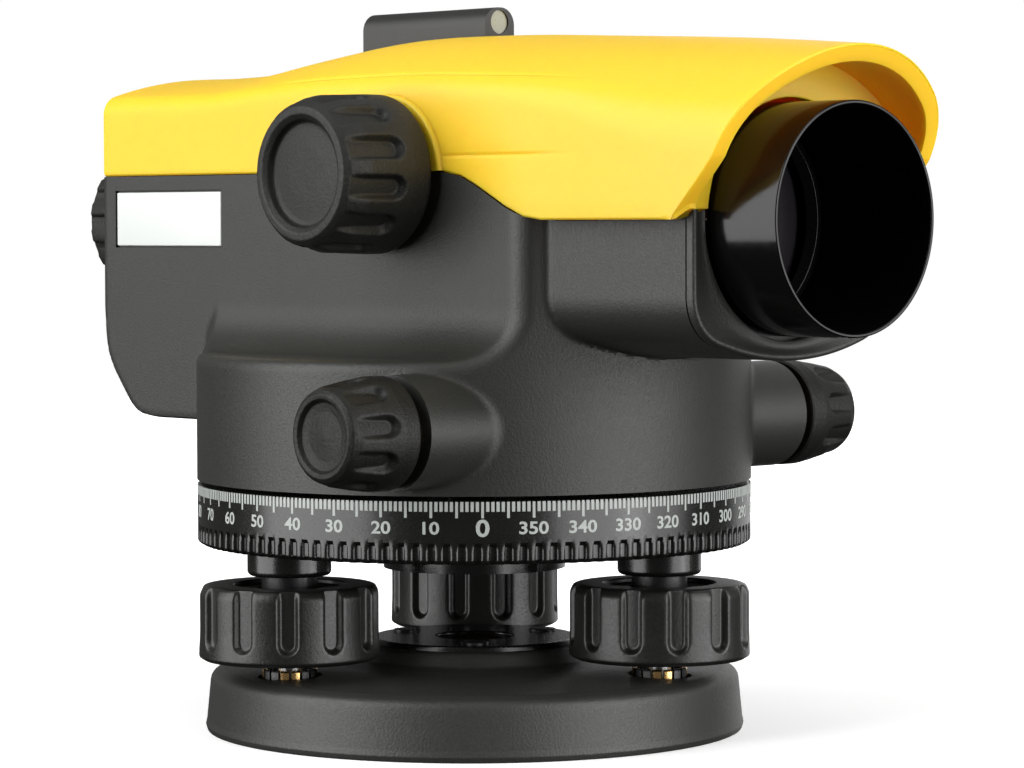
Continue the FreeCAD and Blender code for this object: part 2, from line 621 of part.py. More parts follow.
def pendulum_tapes():
    """Four crossed suspension tapes."""
    return group([block(x, x + 1.6, y, y + 0.3, 82.5, 116.8)
                  for x in (-41.0, -32.6) for y in (-8.8, 8.5)])


def pendulum():
    """Swinging carrier of the compensator prism."""
    return fuse([block(-43.0, -29.0, -8.5, 8.5, 82.0, 85.0), block(-38, -34, -2, 2, 75.6, 82.0),
                 rod_z(4.6, 74.4, 76.6, -36, 0)])


def pendulum_prism():
    return plate_y([(-42.0, 85.0), (-30.0, 85.0), (-33.0, 93.0), (-39.0, 93.0)], -8.0, 8.0)


def damping_magnets():
    return group([block(x, x + 1.4, -4, 4, 73.0, 80.0) for x in (-43.0, -30.4)])


# ---- eyepiece -----------------------------------------------------------------------------
def eyepiece_sleeve():
    """Fixed sleeve that carries the dioptre ring and guides the lens barrel."""
    return fuse([tube_x(13.2, 9.0, -83.0, -66.0), tube_x(11.0, 9.0, -90.0, -83.0)])


def reticle():
    return rod_x(7.0, -64.5, -63.0)


def reticle_cell():
    cell = tube_x(12.0, 7.0, -65.5, -61.5)
    return cell


def reticle_screws():
    """Four adjusting screws that centre the reticle cell."""
    return group([rod_z(1.4, 111.0, 115.5, -63.5, 0), rod_z(1.4, 82.5, 87.0, -63.5, 0)])


def eyepiece_ring():
    """Dioptre ring with finger grips."""
    r, x0, x1 = EYEPIECE_R, EYEPIECE_X0, EYEPIECE_X1
    ring = spin_profile_x([(11.0 + FIT, x0), (r - 1.0, x0), (r, x0 - 1.0), (r, x1 + 6.0), (r - 0.6, x1 + 1.2),
                           (r - 2.0, x1), (r - 3.5, x1), (10.0, x1 + 2.5), (10.0, -90.5), (11.0 + FIT, -90.5)])
    cutter = rod_x(1.3, x1 - 1, x0 - 4.0, 0, AXIS_Z + r + 0.3)
    return fluted(ring, 16, cutter, V(0, 0, AXIS_Z), V(1, 0, 0))


def eyepiece_cell():
    """Lens barrel that the dioptre ring screws in and out."""
    return tube_x(9.0 - FIT, 7.4, -99.0, -72.0)


def eyepiece_lens():
    return lens(7.4, -97.0, -93.5, 0, 0.8)


# ---- slow motion drive --------------------------------------------------------------------
def drive_knob(side):
    """One of the two slow motion knobs; side is -1 (near) or +1 (far)."""
    s = side
    y0, y1 = s * DRIVE_KNOB_Y0, s * DRIVE_KNOB_Y1
    knob = spin_profile_y([
        (3.0, y0), (DRIVE_KNOB_R - 0.4, y0), (DRIVE_KNOB_R, y0 + s * 0.6), (DRIVE_KNOB_R, y0 + s * 4.0),
        (8.6, y1 - s * 1.0), (7.9, y1), (6.6, y1), (6.0, y1 - s * 1.0), (0, y1 - s * 0.7),
        (0, y0 + s * 9), (3.0, y0 + s * 9)], SHAFT_X, SHAFT_Z)
    lean = V(-1.8 / 11.0, s, 0)
    start = V(SHAFT_X + DRIVE_KNOB_R + 0.9, y0 + s * 7.2, SHAFT_Z)
    cutter = Part.makeCylinder(2.45, 14.0, start, lean).fuse(Part.makeSphere(2.45, start))
    return fluted(knob, 9, cutter, V(SHAFT_X, 0, SHAFT_Z), V(0, 1, 0), -11.3)


def drive_shaft():
    """Cross shaft with the worm cut on its middle."""
    reach = DRIVE_KNOB_Y0 + 9
    shaft = fuse([rod_y(3.0, -reach, reach, SHAFT_X, SHAFT_Z),
                  rod_y(WORM_R, -9.0, 9.0, SHAFT_X, SHAFT_Z)])
    grooves = group([tube_y(WORM_R + 1, WORM_R - 0.7, y, y + 0.9, SHAFT_X, SHAFT_Z)
                     for y in [-8.2 + 2.0 * i for i in range(8)]])
    return shaft.cut(grooves)


def shaft_bushes():
    """Bearing bushes of the cross shaft and of the focusing shaft."""
    bushes = [tube_y(9.0, 3.0 + FIT, -31.0, -24.0, FOCUS_X, FOCUS_Z)]
    for s in (-1, 1):
        y0, y1 = sorted((s * 38.0, s * (SLEEVE_END_Y + 1.0)))
        bushes.append(tube_y(5.0, 3.0 + FIT, y0, y1, SHAFT_X, SHAFT_Z))
    return group(bushes)


def worm_wheel():
    wheel = tube_z(WHEEL_R, 13.0 + FIT, 57.7, 61.9)
    cutter = rod_z(0.55, 55, 65, WHEEL_R + 0.1, 0)
    return fluted(wheel, 72, cutter, V(0, 0, 0), V(0, 0, 1))




# ---- circular level -----------------------------------------------------------------------
def level_bracket():
    bracket = fuse([rod_z(LEVEL_R + 3.0, LEVEL_Z - 2.5, LEVEL_Z, LEVEL_X, LEVEL_Y),
                    block(LEVEL_X - 9, LEVEL_X + 9, BODY_HALF, LEVEL_Y, LEVEL_Z - 2.5, LEVEL_Z)])
    web = plate_x([(BODY_HALF, LEVEL_Z - 2.5), (LEVEL_Y - 11, LEVEL_Z - 2.5), (BODY_HALF, LEVEL_Z - 6.5)],
                  LEVEL_X - 2, LEVEL_X + 2)
    bracket = fuse([bracket, web])
    for i in range(3):
        dx, dy = polar(8.0, 90 + 120 * i)
        bracket = bracket.cut(rod_z(1.2, LEVEL_Z - 5, LEVEL_Z + 1, LEVEL_X + dx, LEVEL_Y + dy))
    return bracket


def level_cup():
    cup = tube_z(LEVEL_R, LEVEL_R - 1.6, LEVEL_Z + 1.2, LEVEL_Z + 10.0, LEVEL_X, LEVEL_Y)
    return fuse([cup, rod_z(LEVEL_R, LEVEL_Z + 1.2, LEVEL_Z + 2.6, LEVEL_X, LEVEL_Y)])


def level_vial():
    """Glass capsule with a slightly domed top."""
    z0, z1 = LEVEL_Z + 2.6, LEVEL_Z + 9.4
    r = LEVEL_R - 1.6
    dome = Part.makeSphere(60.0, V(LEVEL_X, LEVEL_Y, z1 - 60.0))
    return rod_z(r, z0, z1, LEVEL_X, LEVEL_Y).common(dome)


def level_screws():
    """Three adjusting screws under the level."""
    screws = []
    for i in range(3):
        dx, dy = polar(8.0, 90 + 120 * i)
        x, y = LEVEL_X + dx, LEVEL_Y + dy
        screws.append(fuse([rod_z(2.0, LEVEL_Z - 4.2, LEVEL_Z - 2.5, x, y),
                            rod_z(1.2, LEVEL_Z - 2.5, LEVEL_Z + 1.2, x, y)]))
    return group(screws)


def level_mirror_arm():
    """Bracket that holds the level's mirror over the vial."""
    x0 = LEVEL_X + 11.6
    cheek = [(x0, 96.0), (x0 + 3.4, 96.0), (x0 + 3.4, 113.0), (x0 - 15.0, 121.0), (x0 - 17.0, 118.2),
             (x0, 107.0)]
    cheeks = [plate_y(cheek, BODY_HALF, BODY_HALF + 1.6), plate_y(cheek, 51.4, 53.0)]
    bridge = block(x0, x0 + 3.4, BODY_HALF, 53.0, 96.0, 99.0)
    return fuse(cheeks + [bridge])


def level_mirror():
    x0 = LEVEL_X + 11.6
    return plate_y([(x0 - 16.0, 116.4), (x0 - 0.6, 108.2), (x0 + 0.2, 109.6), (x0 - 15.2, 117.8)],
                   BODY_HALF + 1.6, 51.4)


# ---- write one file per piece -------------------------------------------------------------
def pieces():
    made = {
        "base_plate": base_plate(),
        "tripod_thread_insert": tripod_thread_insert(),
        "foot_seats": foot_seats(),
        "retaining_plate": retaining_plate(),
        "retaining_plate_screws": retaining_plate_screws(),
        "foot_collars": foot_collars(),
        "head_plate": head_plate(),
        "foot_bushes": foot_bushes(),
        "axis_bush": axis_bush(),
        "circle_ring": circle_ring(),
        "housing": housing(),
        "barrel": barrel(),
        "front_frame": front_frame(),
        "objective_tube": objective_tube(),
        "drum_floor": drum_floor(),
        "axis_spindle": axis_spindle(),
        "top_cover": top_cover(),
        "sight_body": sight_body(),
        "sight_windows": sight_windows(),
        "label_plate": label_plate(),
        "body_screws": body_screws(),
        "objective_lens": objective_lens(),
        "objective_retainer": objective_retainer(),
        "guide_rods": guide_rods(),
        "focus_carriage": focus_carriage(),
        "focus_rack": focus_rack(),
        "focus_lens": focus_lens(),
        "focus_knob": focus_knob(),
        "focus_shaft": focus_shaft(),
        "compensator_frame": compensator_frame(),
        "fixed_prisms": fixed_prisms(),
        "pendulum_tapes": pendulum_tapes(),
        "pendulum": pendulum(),
        "pendulum_prism": pendulum_prism(),
        "damping_magnets": damping_magnets(),
        "eyepiece_sleeve": eyepiece_sleeve(),
        "reticle": reticle(),
        "reticle_cell": reticle_cell(),
        "reticle_screws": reticle_screws(),
        "eyepiece_ring": eyepiece_ring(),
        "eyepiece_cell": eyepiece_cell(),
        "eyepiece_lens": eyepiece_lens(),
        "drive_knob_near": drive_knob(-1),
        "drive_knob_far": drive_knob(1),
        "drive_shaft": drive_shaft(),
        "shaft_bushes": shaft_bushes(),
        "worm_wheel": worm_wheel(),
        "level_bracket": level_bracket(),
        "level_cup": level_cup(),
        "level_vial": level_vial(),
        "level_screws": level_screws(),
        "level_mirror_arm": level_mirror_arm(),
        "level_mirror": level_mirror(),
    }
    for name, angle in FOOT_ANGLES.items():
        x, y = polar(FOOT_PITCH_R, angle)
        made["foot_knob_" + name] = foot_knob(x, y, KNOB_PHASES[name])
        made["foot_spindle_" + name] = foot_spindle(x, y)
        if name == LEVELLING_SCREW:
            made["foot_ball_" + name] = foot_ball(x, y)
        else:
            made["foot_spindle_" + name] = made["foot_spindle_" + name].fuse(foot_ball(x, y))
    return made


os.makedirs("parts", exist_ok=True)
for node, shape in pieces().items():
    shape.exportStep("parts/" + node + ".step")
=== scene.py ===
import json
import math
import bmesh
import bpy
import numpy as np
from mathutils import Matrix, Vector


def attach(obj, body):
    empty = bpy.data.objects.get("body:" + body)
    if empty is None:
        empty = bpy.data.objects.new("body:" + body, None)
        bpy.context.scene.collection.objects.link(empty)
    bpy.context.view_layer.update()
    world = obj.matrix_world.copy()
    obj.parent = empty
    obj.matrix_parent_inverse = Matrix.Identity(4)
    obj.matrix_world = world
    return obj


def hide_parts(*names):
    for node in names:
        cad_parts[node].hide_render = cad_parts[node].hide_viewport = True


# Looks of the automatic level. Points below are millimetres in the CAD frame; meshes are stored in metres.

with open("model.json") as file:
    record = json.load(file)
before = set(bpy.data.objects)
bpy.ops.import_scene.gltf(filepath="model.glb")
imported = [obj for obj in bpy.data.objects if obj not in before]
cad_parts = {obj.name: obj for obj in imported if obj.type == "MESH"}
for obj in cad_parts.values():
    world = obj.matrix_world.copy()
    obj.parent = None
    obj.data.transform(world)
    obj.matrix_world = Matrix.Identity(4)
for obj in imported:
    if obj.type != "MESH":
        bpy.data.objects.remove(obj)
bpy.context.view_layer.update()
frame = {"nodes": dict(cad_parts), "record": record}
MM = 0.001

# ---- dimensions shared with the CAD ---------------------------------------------------------
AXIS_Z = 99.0
DRUM_R, DRUM_BORE_R, DRUM_Z0, LEDGE_Z = 54.1, 51.1, 48.9, 73.5
BODY_HALF, COVE_R, BACK_X = 30.0, 9.5, -80.0
BARREL_HALF, BARREL_CORNER = 25.5, (16.5, 85.44, 9.0)
BARREL_CROWN_Z, BARREL_CROWN_R, BARREL_X = 133.7, 60.0, 82.3
TUBE_R, TUBE_BORE_R, HOLE_R, TUBE_X = 20.96, 20.2, 21.8, 99.46
SHAFT_X, SHAFT_Z, SLEEVE_R, DRIVE_Y = 32.3, 60.7, 10.4, 51.6
FOCUS_X, FOCUS_Y, FOCUS_Z = 9.2, -32.0, 107.6
EYEPIECE_X = -84.0
FOOT_PITCH_R = 40.7
FOOT_ANGLES = {"a": 17.4, "b": 137.4, "c": 257.4}
COLLAR_R, COLLAR_SLOTS, COLLAR_PHASE = 5.3, 16, 6.0
RING_R, ZERO_ANGLE = 54.0, -41.0
# lower rear outline of the housing: (x, z)
REAR_PROFILE = ((BACK_X, 75.6), (-78.8, 70.9), (-70, 60.2), (-67, 59.3))
# lower edge of the cover: (x, z)
SEAM = [(-120.0, 108.2), (23.0, 108.2), (29.0, 107.2), (33.5, 105.2), (41.0, 101.4), (45.5, 99.6),
        (50.0, 99.0), (83.0, 99.0), (85.0, 100.9), (120.0, 100.9)]
# sections of the cover: x, half width, crest height, crown radius, corner radius
SECTIONS = np.array([
    (BACK_X, 30.0, 128.7, 92.0, 4.0), (-62.0, 30.0, 128.6, 92.0, 4.0), (-46.0, 30.0, 129.3, 80.0, 4.0),
    (-30.0, 30.0, 131.8, 64.0, 4.0), (-10.0, 30.0, 134.2, 53.0, 4.5), (15.0, 30.0, 134.4, 52.0, 5.0),
    (45.0, 30.0, 133.2, 50.0, 6.5), (78.0, 29.6, 131.5, 38.5, 13.0), (104.0, 27.8, 129.6, 35.0, 15.5)])
# front edge of the visor: (z, x)
VISOR_EDGE = np.array([(99.0, 82.5), (99.6, 82.8), (100.9, 83.8), (103.0, 85.9), (106.4, 89.0), (109.8, 91.9),
                       (140.0, 107.15)])


def foot_centre(key):
    """Centre of a foot screw on the ground."""
    a = math.radians(FOOT_ANGLES[key])
    return FOOT_PITCH_R * math.cos(a), FOOT_PITCH_R * math.sin(a), 0


# ---- mesh tools -------------------------------------------------------------------------------
def linked(name, data):
    """New object with the given data, linked to the scene."""
    obj = bpy.data.objects.new(name, data)
    bpy.context.scene.collection.objects.link(obj)
    return obj


def weld(mesh, distance):
    """Merges points closer than distance and turns all faces outwards."""
    bm = bmesh.new()
    bm.from_mesh(mesh)
    bmesh.ops.remove_doubles(bm, verts=bm.verts, dist=distance)
    bmesh.ops.recalc_face_normals(bm, faces=bm.faces)
    bm.to_mesh(mesh)
    bm.free()


class Build:
    """Collects points and faces of one piece."""

    def __init__(self):
        self.points, self.faces, self.slots = [], [], []
        self.count = 0

    def add(self, points, faces, slot=0):
        points = np.asarray(points, float).reshape(-1, 3)
        self.points.append(points)
        self.faces += [tuple(int(i) + self.count for i in f) for f in faces]
        self.slots += [slot] * len(faces)
        self.count += len(points)
        return self

    def make(self, name, materials, body, replaces=(), slot=None, smooth=38.0, merge=0.002):
        mesh = bpy.data.meshes.new(name)
        mesh.from_pydata((np.concatenate(self.points) * MM).tolist(), [], self.faces)
        mesh.polygons.foreach_set("material_index", self.slots)
        weld(mesh, merge * MM)
        return dress(linked(name, mesh), materials, body, replaces, smooth)


def dress(obj, materials, body, replaces=(), smooth=38.0):
    """Gives a piece its materials, body and replaced CAD nodes; smooth is in degrees."""
    mesh = obj.data
    chosen = [p.material_index for p in mesh.polygons]
    mesh.materials.clear()
    for material in materials if isinstance(materials, (list, tuple)) else [materials]:
        mesh.materials.append(material)
    mesh.polygons.foreach_set("material_index", [min(i, len(mesh.materials) - 1) for i in chosen])
    mesh.polygons.foreach_set("use_smooth", [True] * len(mesh.polygons))
    mesh.set_sharp_from_angle(angle=math.radians(smooth))
    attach(obj, body)
    if replaces:
        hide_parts(*replaces)
    return obj


def grid_faces(rows, columns, wrap=True, wrap_rows=False):
    """Quads between rows of points; wrap joins the last column to the first, wrap_rows joins the rows."""
    faces = []
    for i in range(rows if wrap_rows else rows - 1):
        for j in range(columns if wrap else columns - 1):
            k, n = (i + 1) % rows, (j + 1) % columns
            faces.append((i * columns + j, i * columns + n, k * columns + n, k * columns + j))
    return faces


def end_faces(rows, columns):
    """The two faces that close rows of points at their first and last column."""
    return [tuple(r * columns + c for r in range(rows)) for c in (0, columns - 1)]


# bases for turned shapes: two directions across the axis, then the axis
UP = np.array([(1, 0, 0), (0, 1, 0), (0, 0, 1)], float)
NEAR = np.array([(1, 0, 0), (0, 0, 1), (0, -1, 0)], float)
FAR = np.array([(1, 0, 0), (0, 0, 1), (0, 1, 0)], float)
FRONT = np.array([(0, 1, 0), (0, 0, 1), (1, 0, 0)], float)
BACK = np.array([(0, 1, 0), (0, 0, 1), (-1, 0, 0)], float)


def soft_profile(points, steps=4):
    """Polyline of (radius, height[, corner radius]) with its corners rounded."""
    out = []
    for i, point in enumerate(points):
        corner = point[2] if len(point) > 2 else 0.0
        here = np.array(point[:2], float)
        if corner == 0.0 or i in (0, len(points) - 1):
            out.append(here)
            continue
        before = np.array(points[i - 1][:2], float) - here
        after = np.array(points[i + 1][:2], float) - here
        la, lb = np.linalg.norm(before), np.linalg.norm(after)
        before, after = before / la, after / lb
        half = math.acos(float(np.clip(before @ after, -1, 1))) / 2
        reach = min(corner / math.tan(half), 0.49 * la, 0.49 * lb)
        radius = reach * math.tan(half)
        middle = (before + after) / np.linalg.norm(before + after)
        centre = here + middle * radius / math.sin(half)
        start, end = here + before * reach - centre, here + after * reach - centre
        a0 = math.atan2(start[1], start[0])
        turn = math.atan2(end[1], end[0]) - a0
        turn = (turn + math.pi) % (2 * math.pi) - math.pi
        for k in range(steps + 1):
            a = a0 + turn * k / steps
            out.append(centre + radius * np.array([math.cos(a), math.sin(a)]))
    return out


def dense(profile, step):
    """The same polyline with extra points, none further apart than step."""
    out = [np.array(profile[0], float)]
    for a, b in zip(profile[:-1], profile[1:]):
        a, b = np.array(a, float), np.array(b, float)
        n = max(1, int(math.ceil(np.linalg.norm(b - a) / step)))
        out += [a + (b - a) * k / n for k in range(1, n + 1)]
    return out


def spun(build, profile, origin, basis, angles=96, shape=None, ring=False, slot=0):
    """Surface of revolution; ring=True closes the profile on itself."""
    profile = np.array(profile, float)
    if isinstance(angles, int):
        angles = np.arange(angles) * 2 * math.pi / angles
    r = np.repeat(profile[:, :1], len(angles), 1)
    h = np.repeat(profile[:, 1:2], len(angles), 1)
    t = np.repeat(angles[None, :], len(profile), 0)
    if shape is not None:
        r = shape(t, r, h)
    points = (np.array(origin, float) + (r * np.cos(t))[..., None] * basis[0]
              + (r * np.sin(t))[..., None] * basis[1] + h[..., None] * basis[2])
    return build.add(points.reshape(-1, 3), grid_faces(len(profile), len(angles), True, ring), slot)


def box_shape(build, low, high):
    x0, y0, z0 = low
    x1, y1, z1 = high
    points = [(x0, y0, z0), (x1, y0, z0), (x1, y1, z0), (x0, y1, z0),
              (x0, y0, z1), (x1, y0, z1), (x1, y1, z1), (x0, y1, z1)]
    faces = [(0, 3, 2, 1), (4, 5, 6, 7), (0, 1, 5, 4), (1, 2, 6, 5), (2, 3, 7, 6), (3, 0, 4, 7)]
    return build.add(points, faces)


def bevelled(obj, width, segments=3, angle=30.0):
    """Applies a bevel modifier, so that the edges are real faces."""
    modifier = obj.modifiers.new("bevel", "BEVEL")
    modifier.width = width * MM
    modifier.segments = segments
    modifier.limit_method = "ANGLE"
    modifier.angle_limit = math.radians(angle)
    apply_modifiers(obj)


def apply_modifiers(obj):
    """Turns the modifiers of an object into its mesh."""
    graph = bpy.context.evaluated_depsgraph_get()
    mesh = bpy.data.meshes.new_from_object(obj.evaluated_get(graph))
    old = obj.data
    obj.modifiers.clear()
    obj.data = mesh
    bpy.data.meshes.remove(old)


def step_between(low, high, value):
    """Smooth step from 0 at low to 1 at high."""
    t = np.clip((value - low) / (high - low), 0, 1)
    return t * t * (3 - 2 * t)


# ---- materials --------------------------------------------------------------------------------
def node(tree, kind, **settings):
    """New shader node; settings are attributes, or inputs with _ for each space."""
    made = tree.nodes.new(kind)
    for key, value in settings.items():
        if hasattr(made, key):
            setattr(made, key, value)
        else:
            made.inputs[key.replace("_", " ")].default_value = value
    return made


def ramp(tree, low, dark, high, light):
    """Colour ramp from dark at low to light at high."""
    made = node(tree, "ShaderNodeValToRGB")
    for element, position, colour in zip(made.color_ramp.elements, (low, high), (dark, light)):
        element.color = (*colour, 1)
        element.position = position
    return made


def surface(name, colour, roughness, metallic=0.0, tone=0.12, tone_scale=60.0, grain=0.12, grain_scale=1800.0,
            grain_depth=0.00006, spread=0.06, coat=0.0, coat_roughness=0.05, specular=0.5, stretch=(1, 1, 1),
            speck=0.0):
    """Painted, moulded or machined surface: slow tone change, fine grain in relief and in roughness."""
    material = bpy.data.materials.new(name)
    material.use_nodes = True
    tree = material.node_tree
    link = tree.links.new
    shader = tree.nodes["Principled BSDF"]
    for socket, value in (("Metallic", metallic), ("Specular IOR Level", specular), ("Coat Weight", coat),
                          ("Coat Roughness", coat_roughness)):
        shader.inputs[socket].default_value = value
    place = node(tree, "ShaderNodeTexCoord")
    scaled = node(tree, "ShaderNodeMapping", Scale=stretch)
    link(place.outputs["Object"], scaled.inputs["Vector"])
    slow = node(tree, "ShaderNodeTexNoise", Scale=tone_scale, Detail=4.0, Roughness=0.55)
    fine = node(tree, "ShaderNodeTexNoise", Scale=grain_scale, Detail=3.0, Roughness=0.6)
    link(scaled.outputs["Vector"], slow.inputs["Vector"])
    link(scaled.outputs["Vector"], fine.inputs["Vector"])
    dark = [c * (1 - tone) for c in colour]
    light = [min(1.0, c * (1 + tone)) for c in colour]
    colours = ramp(tree, 0.3, dark, 0.7, light)
    mixed = node(tree, "ShaderNodeMath", operation="MULTIPLY_ADD")
    link(fine.outputs["Fac"], mixed.inputs[0])
    mixed.inputs[1].default_value = speck
    offset = node(tree, "ShaderNodeMath", operation="SUBTRACT")
    link(slow.outputs["Fac"], offset.inputs[0])
    offset.inputs[1].default_value = speck / 2
    link(offset.outputs[0], mixed.inputs[2])
    link(mixed.outputs[0], colours.inputs["Fac"])
    link(colours.outputs["Color"], shader.inputs["Base Color"])
    rough = node(tree, "ShaderNodeMapRange", From_Min=0.3, From_Max=0.7, To_Min=max(0.0, roughness - spread),
                 To_Max=min(1.0, roughness + spread))
    link(fine.outputs["Fac"], rough.inputs["Value"])
    link(rough.outputs["Result"], shader.inputs["Roughness"])
    relief = node(tree, "ShaderNodeBump", Strength=grain, Distance=grain_depth)
    link(fine.outputs["Fac"], relief.inputs["Height"])
    link(relief.outputs["Normal"], shader.inputs["Normal"])
    return material


def glass(name, colour, ior=1.5):
    """Clear, faintly uneven glass."""
    material = surface(name, colour, 0.02, tone=0.0, tone_scale=25.0, grain=0.02, grain_scale=400.0,
                       spread=0.01)
    shader = material.node_tree.nodes["Principled BSDF"]
    shader.inputs["Transmission Weight"].default_value = 1.0
    shader.inputs["IOR"].default_value = ior
    return material


HOUSING = surface("anthracite_enamel", (0.0195, 0.0201, 0.0175), 0.44, tone=0.07, tone_scale=45.0, grain=0.6,
                  grain_scale=2300.0, grain_depth=0.00012, spread=0.07, speck=0.55, specular=0.42)
BASE_GREY = surface("base_enamel", (0.0215, 0.0215, 0.0192), 0.45, tone=0.08, tone_scale=50.0, grain=0.6,
                    grain_scale=2100.0, grain_depth=0.00012, spread=0.07, speck=0.5, specular=0.46)
SATIN = surface("black_anodised", (0.006, 0.006, 0.0055), 0.24, tone=0.15, tone_scale=120.0, grain=0.2,
                grain_scale=3000.0, grain_depth=0.00004, specular=0.5)
# black for the foot bushes and the plate screws; on the collar fingers it is a painted dark reflection
BLACK_AND_PAINTED_REFLECTION = surface("blackened_metal_and_painted_reflection", (0.008, 0.008, 0.008), 0.4, tone=0.15, tone_scale=120.0, grain=0.3,
                       grain_scale=2600.0)
GLOSS = surface("black_gloss", (0.003, 0.003, 0.003), 0.15, tone=0.1, tone_scale=50.0, grain=0.03,
                grain_scale=900.0, grain_depth=0.00003, spread=0.03, specular=0.30)
INNER_BLACK = surface("tube_inside_black", (0.0010, 0.0010, 0.0010), 0.85, grain=0.3, grain_scale=2600.0,
                      specular=0.03)
YELLOW = surface("yellow_abs", (0.97, 0.555, 0.024), 0.42, tone=0.012, tone_scale=18.0, grain=0.14,
                 grain_scale=1500.0, grain_depth=0.00005, spread=0.05, specular=0.35)
# the yellow shell lets some light through, which warms the inside of the visor
for socket, value in (("Subsurface Weight", 0.45), ("Subsurface Radius", (1.0, 0.42, 0.08)),
                      ("Subsurface Scale", 0.007)):
    YELLOW.node_tree.nodes["Principled BSDF"].inputs[socket].default_value = value
SIGHT_GREY = surface("sight_moulding", (0.0125, 0.0130, 0.0120), 0.42, grain=0.35, grain_scale=1900.0)
LABEL = surface("label_enamel", (0.68, 0.705, 0.68), 0.35, tone=0.015, tone_scale=30.0, grain=0.06,
                grain_scale=900.0)
KNOB = surface("knob_rubber", (0.0096, 0.0100, 0.0083), 0.52, tone=0.12, tone_scale=70.0, grain=0.7,
               grain_scale=1900.0, grain_depth=0.00016, spread=0.08, speck=0.45, specular=0.34)
DRIVE = surface("drive_rubber", (0.0060, 0.0062, 0.0052), 0.50, tone=0.12, tone_scale=70.0, grain=0.7,
                grain_scale=1900.0, grain_depth=0.00016, spread=0.08, speck=0.45, specular=0.28)
FOOT = surface("foot_moulding", (0.0088, 0.0090, 0.0079), 0.34, tone=0.12, tone_scale=80.0, grain=0.45,
               grain_scale=1900.0, grain_depth=0.00009, speck=0.3, specular=0.42)
BRASS = surface("turned_brass", (0.80, 0.50, 0.20), 0.16, metallic=1.0, tone=0.12, tone_scale=300.0,
                grain=0.25, grain_scale=2500.0, stretch=(1, 1, 6))
STEEL = surface("ground_steel", (0.42, 0.43, 0.44), 0.28, metallic=1.0, tone=0.08, tone_scale=250.0,
                grain=0.3, grain_scale=2600.0, stretch=(1, 1, 5))
ALUMINIUM = surface("black_aluminium", (0.12, 0.12, 0.125), 0.4, metallic=0.8, grain=0.3, grain_scale=2400.0)
INK = surface("white_engraving", (0.39, 0.415, 0.40), 0.45, tone=0.05, tone_scale=400.0, grain=0.2,
              grain_scale=2500.0)
MIRROR = surface("mirror_glass", (0.86, 0.88, 0.88), 0.03, metallic=1.0, tone=0.01, grain=0.02, spread=0.01)
GLASS = glass("clear_glass", (0.93, 0.97, 0.96))
COATED = surface("coated_objective", (0.045, 0.040, 0.048), 0.10, tone=0.1, grain=0.02, spread=0.02, coat=1.0,
                 coat_roughness=0.03, specular=0.9)
VIAL_LIQUID = glass("vial_liquid", (0.62, 0.85, 0.20), ior=1.36)
WINDOW = surface("frosted_window", (0.30, 0.32, 0.26), 0.3, tone=0.05, grain=0.15)

SLOT_LOOKS = {
    "base_grey": BASE_GREY, "housing_grey": HOUSING, "black_satin": SATIN, "black_gloss": GLOSS,
    "yellow_cover": YELLOW, "sight_grey": SIGHT_GREY, "label_white": LABEL, "knob_black": KNOB,
    "foot_black": FOOT, "brass": BRASS, "steel": STEEL, "aluminium": ALUMINIUM, "clear_glass": GLASS,
    "coated_glass": COATED, "vial_glass": VIAL_LIQUID, "mirror": MIRROR}
NODE_LOOKS = {"foot_bushes": BLACK_AND_PAINTED_REFLECTION, "retaining_plate_screws": BLACK_AND_PAINTED_REFLECTION, "sight_windows": WINDOW,
              "retaining_plate": SATIN}
# CAD pieces that stay visible get their looks here
for part in frame["record"]["subparts"]:
    shown = frame["nodes"].get(part["node"])
    if shown is not None:
        shown.data.materials.clear()
        shown.data.materials.append(NODE_LOOKS.get(part["node"], SLOT_LOOKS[part["material_slot"]]))
        shown.data.polygons.foreach_set("use_smooth", [True] * len(shown.data.polygons))
        shown.data.set_sharp_from_angle(angle=math.radians(32))


# ---- housing: one rounded casting -------------------------------------------------------------
def round_join(a, b, r):
    """Union of two distance fields with a fillet of radius r."""
    return np.maximum(r, np.minimum(a, b)) - np.hypot(np.maximum(r - a, 0), np.maximum(r - b, 0))


def round_meet(a, b, r):
    """Intersection of two distance fields with a rounded edge of radius r."""
    return -round_join(-a, -b, r)


def barrel_field(y, z):
    """Distance across the barrel's rounded U section."""
    y = np.abs(y)
    cy, cz, cr = BARREL_CORNER
    drop = BARREL_CROWN_Z - z
    crown = np.hypot(y, drop) - BARREL_CROWN_R
    corner = np.hypot(y - cy, z - cz) - cr
    side = y - BARREL_HALF
    lean = cy / (BARREL_CROWN_Z - cz)
    return np.where(z > cz, side, np.where(y < lean * drop, crown, corner))


def casting_field(x, y, z):
    """Distance field of the housing: drum and tower, rear box, barrel and shaft sleeves."""
    radial = np.hypot(x, y) - DRUM_R
    step_shape = round_join(np.abs(y) - BODY_HALF, z - LEDGE_Z, COVE_R)
    tower = round_meet(radial, step_shape, 2.2)
    side = np.abs(y) - BODY_HALF
    rear = BACK_X - x
    for (xa, za), (xb, zb) in zip(REAR_PROFILE, REAR_PROFILE[1:]):
        length = math.hypot(xb - xa, zb - za)
        plane = ((za - zb) * (x - xa) + (xb - xa) * (z - za)) / -length
        rear = round_meet(rear, plane, 2.0)
    rear = round_meet(rear, REAR_PROFILE[-1][1] - z, 1.5)
    rear = np.maximum(round_meet(rear, side, 0.9), x)
    fillet = 0.02 + 1.18 * (1 - step_between(74.0, 82.0, z))
    body = round_join(tower, rear, fillet)
    barrel = np.maximum(np.maximum(barrel_field(y, z), x - BARREL_X - 4.0), 20.0 - x)
    body = round_join(body, barrel, 0.8)
    sleeve = np.maximum(np.hypot(x - SHAFT_X, z - SHAFT_Z) - SLEEVE_R, np.abs(y) - 54.0)
    body = round_join(body, sleeve, 0.7)
    return np.maximum(np.maximum(body, z - 112.0), DRUM_Z0 - 3.0 - z)


